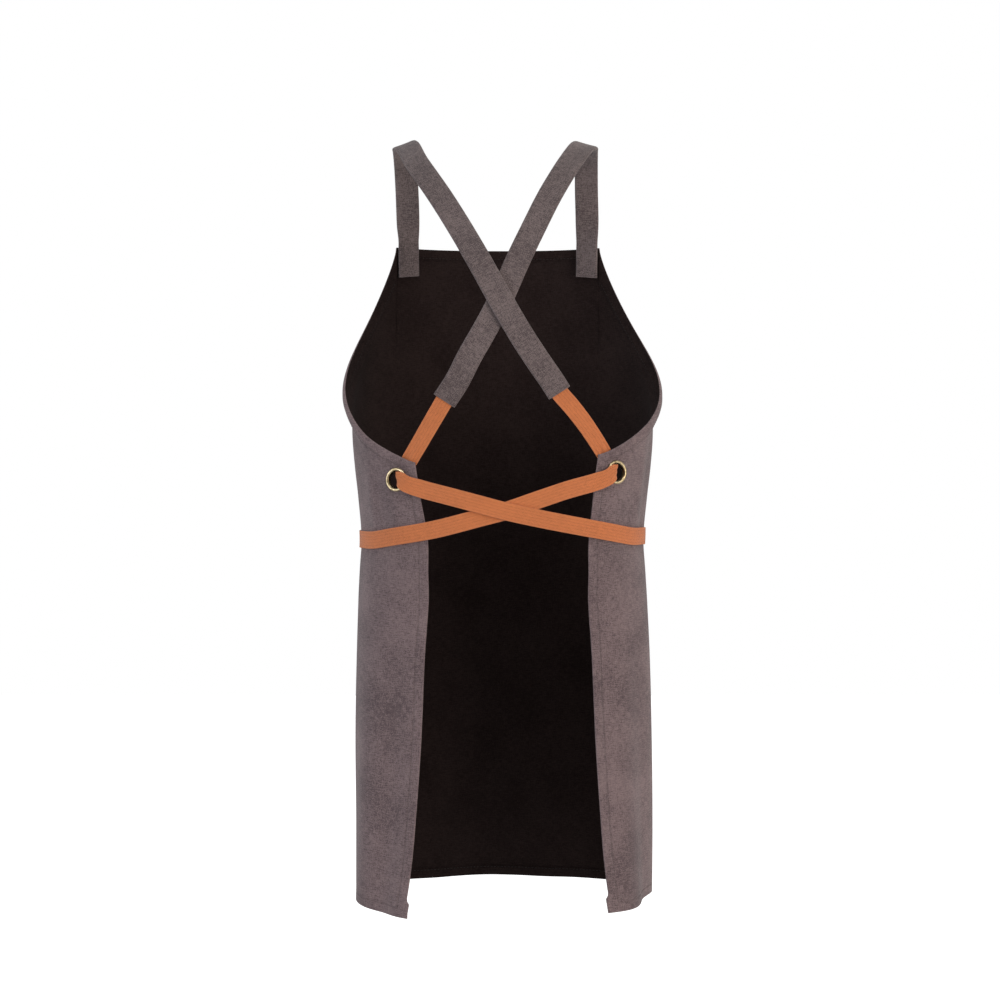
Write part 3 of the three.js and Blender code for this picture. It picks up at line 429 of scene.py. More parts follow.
@dataclass
class Draft:
    """Gathers points, faces and their flat coordinates for one mesh, in millimetres."""

    name: str
    count: int = 0
    points: list[Array] = field(default_factory=list)
    faces: list[Array] = field(default_factory=list)
    flats: list[Array] = field(default_factory=list)
    edges: list[Array] = field(default_factory=list)
    slots: list[Array] = field(default_factory=list)

    def add_points(self, points: Array) -> Array:
        """Adds points and gives back their numbers, in the same layout.

        Args:
            points: The points, with a last axis of three.

        Returns:
            Their numbers.
        """
        numbers = self.count + np.arange(points[..., 0].size).reshape(points.shape[:-1])
        self.points.append(points.reshape(-1, 3))
        self.count += numbers.size
        return numbers

    def add_faces(self, faces: Array, flats: Array, edges: Array | None = None, slot: int = 0) -> None:
        """Adds faces with the flat and edge coordinates of each of their corners.

        Args:
            faces: Point numbers, one row for each face.
            flats: Flat coordinates of each corner.
            edges: Distance from the edge and length along it, for each corner.
            slot: The finish that the faces take.
        """
        self.faces.append(faces)
        self.flats.append(flats)
        self.edges.append(flats if edges is None else edges)
        self.slots.append(np.full(len(faces), slot))

    def add_quads(
        self,
        numbers: Array,
        flat: Array,
        edge: Array | None = None,
        slot: int = 0,
        flip: bool = False,
        keep: Array | None = None,
    ) -> None:
        """Adds the quads of a grid of point numbers.

        Args:
            numbers: The grid of point numbers.
            flat: Flat coordinates on the same grid.
            edge: Edge coordinates on the same grid.
            slot: The finish that the faces take.
            flip: Whether the faces look the other way.
            keep: Which quads are wanted, where it isn't all of them.
        """

        def corners(grid: Array) -> Array:
            """The corners of each wanted quad.

            Args:
                grid: Values on the grid.

            Returns:
                The values at the four corners of each quad.
            """
            order = [grid[:-1, :-1], grid[:-1, 1:], grid[1:, 1:], grid[1:, :-1]]
            stacked = np.stack(order[::-1] if flip else order, axis=2)
            wanted = np.ones(stacked.shape[:2], bool) if keep is None else keep
            return stacked[wanted]

        self.add_faces(corners(numbers), corners(flat), None if edge is None else corners(edge), slot)

    def add_fan(self, numbers: Array, flat: Array, slot: int = 0, flip: bool = False) -> None:
        """Closes a ring of points with triangles round its middle.

        Args:
            numbers: Point numbers of the ring.
            flat: Flat coordinates of the ring.
            slot: The finish that the faces take.
            flip: Whether the faces look the other way.
        """
        points = np.concatenate(self.points)[numbers]
        middle = self.add_points(points.mean(axis=0)[None, :])[0]
        following = np.roll(numbers, -1)
        order = [np.full(len(numbers), middle), numbers, following]
        flats = [np.broadcast_to(flat.mean(axis=0), flat.shape), flat, np.roll(flat, -1, axis=0)]
        if flip:
            order.reverse()
            flats.reverse()
        self.add_faces(np.stack(order, axis=1), np.stack(flats, axis=1), None, slot)

    def make(
        self, finishes: Sequence[bpy.types.Material], nodes: Sequence[str], slot: str
    ) -> bpy.types.Object:
        """Makes the mesh object and gives it its place in the apron.

        Args:
            finishes: The materials, in the order of the faces' slots.
            nodes: The frame's nodes that the piece stands for.
            slot: The record's material slot; not used.

        Returns:
            The new object.
        """
        mesh = bpy.data.meshes.new(self.name)
        points = np.concatenate(self.points) * MM
        faces = [face for block in self.faces for face in block.tolist()]
        mesh.from_pydata(points.tolist(), [], faces)
        for title, blocks in (("Flat", self.flats), ("Edge", self.edges)):
            layer = mesh.uv_layers.new(name=title)
            corners = np.concatenate([block.reshape(-1, 2) for block in blocks]) * MM
            layer.data.foreach_set("uv", corners.astype(np.float32).ravel())
        mesh.polygons.foreach_set("material_index", np.concatenate(self.slots).astype(np.int32))
        mesh.polygons.foreach_set("use_smooth", np.ones(len(faces), bool))
        for finish in finishes:
            mesh.materials.append(finish)
        mesh.update()
        piece = bpy.data.objects.new(self.name, mesh)
        bpy.context.scene.collection.objects.link(piece)
        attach(piece, "root")
        if nodes:
            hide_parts(*nodes)
        LOG.info("%s: %d points, %d faces", self.name, len(points), len(faces))
        return piece


@dataclass
class Knot:
    """A point that a strip passes, and how the strip lies there."""

    point: Array
    outward: Array | None = None
    across: Array | None = None
    width: float | None = None
    thickness: float | None = None
    cup: float = 0.0


@dataclass
class Strip:
    """A flat strip laid along a smooth line: one row of values for each station."""

    point: Array
    along: Array
    across: Array
    width: Array
    thickness: Array
    cup: Array

    @classmethod
    def lay(cls, knots: Sequence[Knot], width: float, thickness: float, pitch: float) -> Strip:
        """Lays a strip through knots.

        Args:
            knots: The knots, in order.
            width: The strip's own width.
            thickness: The strip's own thickness.
            pitch: The longest step between stations.

        Returns:
            The strip.
        """
        points = np.array([knot.point for knot in knots])
        chords = np.linalg.norm(np.diff(points, axis=0), axis=1)
        counts = np.maximum(np.ceil(chords / pitch).astype(int), 1)
        index = np.repeat(np.arange(len(counts)), counts)
        share = np.concatenate([np.arange(count) / count for count in counts])
        index, share = np.append(index, len(counts) - 1), np.append(share, 1.0)
        place, direction = cls._through(points, chords, index, share)
        ways = np.array([knot.across for knot in knots])
        across, _ = cls._through(ways, chords, index, share)
        along = unit(direction)
        across = unit(across - along * np.sum(across * along, axis=1, keepdims=True))

        def level(values: Sequence[float]) -> Array:
            """The knots' values at each station."""
            read = np.array(values, float)
            return mix(read[index], read[index + 1], smooth_step(0.0, 1.0, share))

        return cls(
            place,
            along,
            across,
            level([width if knot.width is None else knot.width for knot in knots]),
            level([thickness if knot.thickness is None else knot.thickness for knot in knots]),
            level([knot.cup for knot in knots]),
        )

    @staticmethod
    def _through(values: Array, chords: Array, index: Array, share: Array) -> tuple[Array, Array]:
        """Reads a centripetal curve through values, and its direction.

        Args:
            values: The values to go through.
            chords: Lengths between the knots.
            index: The knot before each station.
            share: The share of the way to the next knot.

        Returns:
            The places and the directions.
        """
        padded = np.vstack([2 * values[0] - values[1], values, 2 * values[-1] - values[-2]])
        spans = np.sqrt(np.maximum(chords, 1e-4))
        spans = np.concatenate([spans[:1], spans, spans[-1:]])
        first, second, third, fourth = (padded[index + k] for k in range(4))
        before, middle, after = (spans[index + k][:, None] for k in range(3))
        chord = (third - second) / middle
        leave = (second - first) / before - (third - first) / (before + middle) + chord
        arrive = chord - (fourth - second) / (middle + after) + (fourth - third) / after
        leave, arrive = leave * middle, arrive * middle
        square = -3 * second + 3 * third - 2 * leave - arrive
        cube = 2 * second - 2 * third + leave + arrive
        t = share[:, None]
        place = second + leave * t + square * t**2 + cube * t**3
        return place, leave + 2 * square * t + 3 * cube * t**2

    @property
    def face(self) -> Array:
        """The direction that the strip's face looks in."""
        return unit(np.cross(self.across, self.along))

    @property
    def run(self) -> Array:
        """The length along the strip up to each station."""
        return run_of(self.point)

    @property
    def left(self) -> Array:
        """The length that is left from each station to the strip's end."""
        return self.run[-1] - self.run

    def slice(self, start: int, stop: int | None = None) -> Strip:
        """The strip's stations from start to stop."""
        cut = slice(start, stop)
        return Strip(*(getattr(self, name)[cut] for name in self.__dataclass_fields__))

    def surface(self, outline: Array, relief: Array | float = 0.0) -> Array:
        """Sweeps an outline along the strip.

        Args:
            outline: Shares of the width and of the thickness, one row for each point.
            relief: Added height, on the grid of stations and outline points.

        Returns:
            The points, on the grid of stations and outline points.
        """
        offset = outline[None, :, 0] * self.width[:, None]
        height = outline[None, :, 1] * self.thickness[:, None] + relief
        cup = self.cup[:, None]
        bowed = np.abs(cup) > 1e-6
        safe = np.where(bowed, cup, 1.0)
        angle = offset * cup
        sideways = np.where(bowed, np.sin(angle) / safe, offset)
        sink = np.where(bowed, (np.cos(angle) - 1) / safe, 0.0)
        face, across = self.face[:, None, :], self.across[:, None, :]
        normal = face * np.cos(angle)[..., None] + across * np.sin(angle)[..., None]
        middle = self.point[:, None, :] + across * sideways[..., None] + face * sink[..., None]
        return middle + normal * height[..., None]

    def flat(self, outline: Array) -> Array:
        """Flat coordinates of a swept outline: across the strip and along it.

        Args:
            outline: Shares of the width and of the thickness, one row for each point.

        Returns:
            The coordinates, on the grid of stations and outline points.
        """
        offset = outline[None, :, 0] * self.width[:, None]
        run = np.broadcast_to(self.run[:, None], offset.shape)
        return np.stack([offset, run], axis=-1)


def across_of(before: Array, after: Array, outward: Array) -> Array:
    """The across direction of a strip that runs from before to after, facing outward."""
    return unit(np.cross(after - before, outward))


def orient(knots: list[Knot]) -> list[Knot]:
    """Gives each knot its across direction from its neighbours, where it has none.

    Args:
        knots: The knots, in order.

    Returns:
        The same knots.
    """
    for index, knot in enumerate(knots):
        if knot.across is None:
            before = knots[max(index - 1, 0)].point
            after = knots[min(index + 1, len(knots) - 1)].point
            knot.across = across_of(before, after, knot.outward)
    return knots


def close_columns(grid: Array) -> Array:
    """A grid with its first column again at its end, so that its quads go right round."""
    return np.concatenate([grid, grid[:, :1]], axis=1)


@dataclass
class Panel:
    """The apron's canvas: bib, skirt and two wings, one sheet with a turned hem all round."""

    form: WornForm
    shift: float = 6.8
    wing_tilt: float = 4.5
    armhole_sag: float = 5.5
    hem_rise: float = 8.0
    wing_pull: float = 5.0
    eyelet_from_top: float = 19.0
    bib_half_width: float = 130.0
    bib_drop: float = 109.0
    wing_drop: float = 369.0
    armhole_power: float = 1.3
    armhole_flare: float = 12.5
    flare_place: float = 0.67
    flare_width: float = 0.16
    flare_below: float = 0.0065
    flare_reach: float = 0.0158
    sag_place: float = 0.83
    sag_width: float = 0.09
    sag_reach: float = 0.12
    rise_place: float = 0.74
    rise_width: float = 0.12
    pull_from: float = 0.6
    ripple_height: float = 0.5
    ripple_waves: tuple[float, float, float, float] = (31, 97, 53, 71)
    most_stretch: float = 3.0
    thickness: float = 1.5
    hem_width: float = 12.0
    hem_fold: float = 1.3
    hem_step: tuple[float, float] = (-0.4, 0.8)
    groove_depth: float = 0.3
    groove_width: float = 1.0
    stitch_inset: float = 10.4
    edge_round: float = 1.3
    corner_tab: float = 4.0
    tab_height: float = 20.0
    tab_width: float = 7.0
    clamped: float = 1.0
    press_radius: float = 13.8
    press_fade: float = 6.0
    hole_radius: float = 11.2
    step: float = 4.0
    middle_rows: int = 148
    near_edge: tuple[float, ...] = (0, 0.3, 0.8, 1.4, 3, 5.5, 8, 9.4, 10.4, 11.4, 12.2, 13, 15.5)
    near_corner: tuple[float, ...] = (0, 0.8, 2, 3.5, 5.5, 8, 11)
    slope_reach: float = 2.0

    @property
    def face(self) -> float:
        """Height of the outer skin over the middle of the cloth."""
        return self.thickness / 2

    @property
    def hem_depth(self) -> float:
        """Depth of the hem's inner side under the middle of the cloth."""
        return self.face + self.hem_fold

    def top_drop(self, along: Array | float) -> Array:
        """Drop of the flat panel's top edge: the bib's straight top, then the armhole.

        Args:
            along: Flat distance from the cloth's centre front, + to the right.

        Returns:
            The drops.
        """
        distance = np.abs(np.asarray(along, float))
        curve_width = self.form.cloth_half_girth - self.bib_half_width
        run = np.clip((distance - self.bib_half_width) / curve_width, 0, 1)
        fall = 1 - (1 - run) ** self.armhole_power
        return self.bib_drop + (self.wing_drop - self.bib_drop) * fall ** (1 / self.armhole_power)

    def stretch(self, along: Array) -> Array:
        """How much longer a cut straight down is than one square to the top edge.

        Args:
            along: Flat distance from the cloth's centre front, + to the right.

        Returns:
            The factors.
        """
        distance = np.abs(along)
        slope = (self.top_drop(distance + 1) - self.top_drop(distance - 1)) / 2
        longer = np.where(distance > self.bib_half_width, np.hypot(1, slope), 1.0)
        return np.minimum(longer, self.most_stretch)

    def relief(self, along: Array, drop: Array) -> Array:
        """How far the cloth curls and creases out of the wrapped surface.

        Args:
            along: Flat distance from the cloth's centre front, + to the right.
            drop: Distance below the shoulders.

        Returns:
            The heights.
        """
        sideways = (np.abs(along) / self.form.cloth_half_girth - self.flare_place) / self.flare_width
        below = (drop - self.top_drop(along)) / self.form.shoulder_to_hem
        upright = (below - self.flare_below) / self.flare_reach
        total = self.armhole_flare * np.exp(-(sideways**2) - upright**2)
        for crease in CREASES:
            down = drop - crease.drop
            beside = along - crease.along - crease.lean * down
            total = total + crease.depth * bell(beside, crease.width) * bell(down, crease.length)
        first, second, third, fourth = self.ripple_waves
        ripple = np.sin(along / first + drop / second) * np.sin(drop / third - along / fourth)
        fade = smooth_step(0, 5 * self.hem_width, drop - self.top_drop(along))
        return total + self.ripple_height * ripple * fade

    def ride_up(self, along: Array, drop: Array) -> Array:
        """How far the cloth rides up: the left armhole sags, and the hem rises behind the sides.

        Args:
            along: Flat distance from the cloth's centre front, + to the right.
            drop: Distance below the shoulders.

        Returns:
            The rises.
        """
        share = along / self.form.cloth_half_girth
        below = (drop - self.top_drop(along)) / self.form.shoulder_to_hem
        down = smooth_step(self.wing_drop, self.form.shoulder_to_hem, drop)
        tilt = self.wing_tilt * share**3 * np.where(share > 0, 1 - 0.9 * down, 1.0)
        sag = self.armhole_sag * bell(share + self.sag_place, self.sag_width)
        sag = sag * (1 - smooth_step(0, self.sag_reach, below))
        behind = sum(bell(share - side.value * self.rise_place, self.rise_width) for side in Side)
        return tilt - sag + self.hem_rise * behind * down**3

    def lay(self, along: Array | float, drop: Array | float, lift: Array | float = 0.0) -> Array:
        """Points of the cloth from its own coordinates.

        Args:
            along: Flat distance from the cloth's centre front, + to the right.
            drop: Distance below the shoulders.
            lift: Height over the middle of the cloth.

        Returns:
            The points.
        """
        along, drop = np.asarray(along, float), np.asarray(drop, float)
        form, level = self.form, drop - self.ride_up(along, drop)
        eyelet_drop = self.wing_drop + self.eyelet_from_top
        low = smooth_step(eyelet_drop, form.waist_drop + self.hem_width, drop)
        drawn = self.wing_pull * smooth_step(self.pull_from, 1, along / form.cloth_half_girth) * (1 - low)
        return form.wrap(along + drawn - self.shift, level, lift + self.relief(along, drop))

    def normal(self, along: Array, drop: Array) -> Array:
        """Outward directions of the laid cloth."""
        sideways, upwards = surface_steps(self.lay, along, drop, self.slope_reach)
        return unit(np.cross(upwards, sideways))

    def columns(self) -> Array:
        """The grid's flat distances, closer together at the hems and the bib's corners.

        Returns:
            The distances, from left to right.
        """
        edge = self.form.cloth_half_girth - np.array(self.near_edge[::-1])
        corner = self.bib_half_width + np.array(self.near_corner)
        front = np.linspace(0, self.bib_half_width, int(self.bib_half_width / self.step) + 1)[:-1]
        back = np.arange(corner[-1] + self.step, edge[0] - self.step / 2, self.step)
        half = np.concatenate([front, corner, back, edge])
        return np.concatenate([-half[:0:-1], half])

    def grid(self) -> tuple[Array, Array]:
        """Flat distance and drop of each grid point: a column down the cloth for each distance.

        Returns:
            The distances and the drops.
        """
        columns = self.columns()
        near = np.array(self.near_edge)
        top, hem = self.top_drop(columns), self.form.shoulder_to_hem
        stretch = self.stretch(columns)
        upper = top[:, None] + near[None, :] * stretch[:, None]
        lower = np.broadcast_to(hem - near[::-1], (len(columns), len(near)))
        share = np.linspace(0, 1, self.middle_rows + 2)[1:-1]
        middle = mix(upper[:, -1:], lower[:, :1], share[None, :])
        drops = np.concatenate([upper, middle, lower], axis=1)
        return np.broadcast_to(columns[:, None], drops.shape).copy(), drops

    def make(
        self, eyelets: Sequence[Eyelet], finishes: Sequence[bpy.types.Material]
    ) -> bpy.types.Object:
        """Makes the panel with its pressed and pierced places for the eyelets.

        Args:
            eyelets: The eyelets that the cloth is clamped in.
            finishes: The outer finish and the inner one, whose near black colour is painted shade.

        Returns:
            The panel's object.
        """
        along, drop = self.grid()
        keep = np.ones((along.shape[0] - 1, along.shape[1] - 1), bool)
        for eyelet in eyelets:
            keep &= self._pierce(eyelet, along, drop)
        half, hem = self.form.cloth_half_girth, self.form.shoulder_to_hem
        from_top = (drop - self.top_drop(along)) / self.stretch(along)
        from_side, from_hem = half - np.abs(along), hem - drop
        from_edge = np.maximum(np.minimum(np.minimum(from_top, from_hem), from_side), 0)
        fold_start, fold_end = (self.hem_width + step for step in self.hem_step)
        turned = 1 - smooth_step(fold_start, fold_end, from_edge)
        groove = self.groove_depth * bell(from_edge - self.stitch_inset, self.groove_width)
        rounding = np.sqrt(1 - (1 - np.clip(from_edge / self.edge_round, 0, 1)) ** 2)
        middle = (self.face - self.hem_depth) / 2
        outer = middle + (self.face - groove - middle) * rounding
        inner = middle + (-self.face - self.hem_fold * turned - middle) * rounding
        low = smooth_step(hem - self.tab_height, hem - 0.8 * self.tab_height, drop)
        tab = self.corner_tab * low * bell(from_side, self.tab_width)
        spread = along + np.sign(along) * tab
        skins = [self.lay(spread, drop, lift) for lift in (outer, inner)]
        for eyelet in eyelets:
            skins = self._press(eyelet, along, drop, skins)
        flat = np.stack([along, drop], axis=-1)
        nearest_side = from_side < np.minimum(from_top, from_hem)
        edge = np.stack([from_edge, np.where(nearest_side, drop, along)], axis=-1)
        draft = Draft("canvas_panel")
        outer_numbers = draft.add_points(skins[0])
        inner_numbers = draft.add_points(skins[1])
        rim = np.ones(along.shape, bool)
        rim[1:-1, 1:-1] = False
        inner_numbers = np.where(rim, outer_numbers, inner_numbers)
        draft.add_quads(outer_numbers, flat, edge, 0, True, keep)
        draft.add_quads(inner_numbers, flat, edge, 1, False, keep)
        self._wall_holes(draft, keep, outer_numbers, inner_numbers, flat)
        piece = draft.make(finishes, ["apron_panel"], "panel_canvas")
        self._drop_loose_points(piece)
        return piece

    def _pierce(self, eyelet: Eyelet, along: Array, drop: Array) -> Array:
        """Moves the grid to the hole's round edge, and gives the quads that stay.

        Args:
            eyelet: The eyelet.
            along: The grid's distances, moved in place.
            drop: The grid's drops, moved in place.

        Returns:
            Which quads stay.
        """
        beside, below = along - eyelet.along, drop - eyelet.drop
        far = np.hypot(beside, below)
        centre = (far[:-1, :-1] + far[1:, :-1] + far[:-1, 1:] + far[1:, 1:]) / 4
        keep = centre > self.hole_radius
        rim = np.ones(along.shape, bool)
        for cells in (keep, ~keep):
            padded = np.pad(cells, 1)
            rim &= padded[:-1, :-1] | padded[1:, :-1] | padded[:-1, 1:] | padded[1:, 1:]
        scale = self.hole_radius / np.maximum(far[rim], 1e-6)
        along[rim] = eyelet.along + beside[rim] * scale
        drop[rim] = eyelet.drop + below[rim] * scale
        return keep

    def _press(self, eyelet: Eyelet, along: Array, drop: Array, skins: list[Array]) -> list[Array]:
        """Presses both skins flat where the eyelet and its washer clamp them.

        Args:
            eyelet: The eyelet.
            along: The grid's distances.
            drop: The grid's drops.
            skins: The outer and the inner skin.

        Returns:
            The pressed skins.
        """
        beside, below = along - eyelet.along, drop - eyelet.drop
        far = np.hypot(beside, below)
        share = 1 - smooth_step(self.press_radius, self.press_radius + self.press_fade, far)
        sideways = eyelet.side.value * beside[..., None] * eyelet.inward
        plane = eyelet.centre + sideways - below[..., None] * eyelet.up
        lifts = (self.clamped / 2, -self.clamped / 2)
        return [
            mix(skin, plane + lift * eyelet.axis, share[..., None]) for skin, lift in zip(skins, lifts)
        ]

    @staticmethod
    def _wall_holes(draft: Draft, keep: Array, outer: Array, inner: Array, flat: Array) -> None:
        """Joins the two skins round each hole.

        Args:
            draft: The mesh that takes the faces.
            keep: Which quads stay.
            outer: Point numbers of the outer skin.
            inner: Point numbers of the inner skin.
            flat: Flat coordinates of the grid.
        """
        pairs = []
        across, down = keep[:-1] != keep[1:], keep[:, :-1] != keep[:, 1:]
        for edges, first, second in ((across, (1, 0), (1, 1)), (down, (1, 1), (0, 1))):
            for i, j in zip(*np.nonzero(edges)):
                ends = [(i + first[0], j + first[1]), (i + second[0], j + second[1])]
                pairs.append(ends if keep[i, j] else ends[::-1])
        faces = [[outer[a], outer[b], inner[b], inner[a]] for a, b in pairs]
        flats = [[flat[a], flat[b], flat[b], flat[a]] for a, b in pairs]
        draft.add_faces(np.array(faces), np.array(flats), None, 1)

    @staticmethod
    def _drop_loose_points(piece: bpy.types.Object) -> None:
        """Deletes the grid points that no face uses.

        Args:
            piece: The panel's object.
        """
        mesh = piece.data
        used = np.zeros(len(mesh.vertices), bool)
        corners = np.zeros(len(mesh.loops), np.int32)
        mesh.loops.foreach_get("vertex_index", corners)
        used[corners] = True
        work = bmesh.new()
        work.from_mesh(mesh)
        work.verts.ensure_lookup_table()
        loose = [work.verts[i] for i in np.nonzero(~used)[0]]
        bmesh.ops.delete(work, geom=loose, context="VERTS")
        work.to_mesh(mesh)
        work.free()

    def flat_area(self) -> float:
        """Area of the flat cut.

        Returns:
            The area in square metres.
        """
        along = np.linspace(-self.form.cloth_half_girth, self.form.cloth_half_girth, 1001)
        heights = self.form.shoulder_to_hem - self.top_drop(along)
        return float(np.sum((heights[1:] + heights[:-1]) / 2 * np.diff(along))) * MM * MM


@dataclass
class Eyelet:
    """A brass eyelet in a wing, with the washer that clamps the cloth from inside."""

    panel: Panel
    side: Side
    diameter: float = 27.0
    hole: float = 20.0
    wall: float = 0.9
    height: float = 2.0
    from_edge: float = 26.5
    from_top: float = 19.0
    washer_thickness: float = 1.2
    seat_gap: float = 0.3
    segments: int = 72
    crest: float = 0.45
    crest_steps: int = 17
    crest_power: float = 0.8
    rim_foot: float = 0.35
    slope_reach: float = 3.0

    def __post_init__(self) -> None:
        """Finds the eyelet's place and directions on the laid cloth."""
        self.along = self.side.value * (self.panel.form.cloth_half_girth - self.from_edge)
        self.drop = self.panel.wing_drop + self.from_top
        self.centre = self.panel.lay(self.along, self.drop)
        steps = surface_steps(self.panel.lay, self.along, self.drop, self.slope_reach)
        sideways, upwards = (unit(step) for step in steps)
        self.axis = unit(np.cross(upwards, sideways))
        self.inward = sideways * self.side.value
        self.up = unit(upwards - self.inward * np.dot(upwards, self.inward))

    @property
    def barrel(self) -> float:
        """Outer radius of the barrel."""
        return self.hole / 2 + self.wall

    @property
    def seat(self) -> float:
        """Height of the rim's seat over the middle of the cloth."""
        return self.panel.clamped / 2 + self.seat_gap

    @property
    def lip(self) -> float:
        """Depth of the rolled lip's seat."""
        return self.seat + self.washer_thickness + self.seat_gap

    def way_to(self, point: Array) -> Array:
        """The direction to a point, in the eyelet's own plane."""
        way = point - self.centre
        return unit(way - self.axis * np.dot(way, self.axis))

    def _turn(
        self, name: str, outline: Sequence[tuple[float, float]], finish: bpy.types.Material, node: str
    ) -> bpy.types.Object:
        """Turns a closed outline round the eyelet's axis.

        Args:
            name: The piece's name.
            outline: Radius and height of each point.
            finish: The brass.
            node: The frame's node that the piece stands for.

        Returns:
            The turned piece.
        """
        profile = np.array(outline)
        angle = np.linspace(0, 2 * math.pi, self.segments, endpoint=False)
        third = np.cross(self.inward, self.axis)
        spokes = np.cos(angle)[:, None] * self.inward + np.sin(angle)[:, None] * third
        reach, height = profile[None, :, 0, None], profile[None, :, 1, None]
        points = self.centre + reach * spokes[:, None, :] + height * self.axis
        draft = Draft(name)
        numbers = draft.add_points(points)
        numbers = close_columns(np.concatenate([numbers, numbers[:1]]))
        rows = np.append(angle, 2 * math.pi)[:, None] * self.diameter / 2
        run = run_of(np.vstack([profile, profile[:1]]))[None, :]
        flat = np.stack(np.broadcast_arrays(run, rows), axis=-1)
        draft.add_quads(numbers, flat, flip=True)
        return draft.make([finish], [node], "brass")

    def make(self, finish: bpy.types.Material) -> list[bpy.types.Object]:
        """Makes the eyelet and its washer.

        Args:
            finish: The brass.

        Returns:
            The two objects.
        """
        hole, rim, band = self.hole / 2, self.diameter / 2, (self.diameter - self.hole) / 2
        dome = np.linspace(0, math.pi, self.crest_steps)
        outer = rim - self.crest * band * (1 - np.cos(dome))
        inner = hole + (1 - self.crest) * band * (1 + np.cos(dome))
        radius = np.where(dome < math.pi / 2, outer, inner)
        rise = (self.height - self.rim_foot) * np.sin(dome) ** self.crest_power
        height = self.seat + self.rim_foot + rise
        lip_out = (self.barrel + rim) / 2
        profile = [
            (hole, -self.lip - self.wall * 0.6),
            (hole + 0.3, -self.lip - self.wall),
            (lip_out - 0.5, -self.lip - self.wall),
            (lip_out - 0.1, -self.lip - self.wall * 0.6),
            (lip_out, -self.lip - 0.2),
            (lip_out - 0.2, -self.lip),
            (self.barrel, -self.lip),
            (self.barrel, self.seat),
            (rim - 0.2, self.seat),
            *zip(radius, height),
            (hole, self.seat - 0.4),
        ]
        name = self.side.label
        eyelet = self._turn(f"eyelet_rim_{name}", profile, finish, f"eyelet_{name}")
        bore, low = self.barrel + self.seat_gap, -self.seat - self.washer_thickness
        washer = [
            (bore, low + 0.2),
            (bore + 0.3, low),
            (rim - 0.8, low),
            (rim - 0.25, low + 0.2),
            (rim, low + 0.6),
            (rim - 0.1, -self.seat - 0.15),
            (rim - 0.4, -self.seat),
            (bore, -self.seat),
        ]
        return [eyelet, self._turn(f"eyelet_back_{name}", washer, finish, f"eyelet_washer_{name}")]


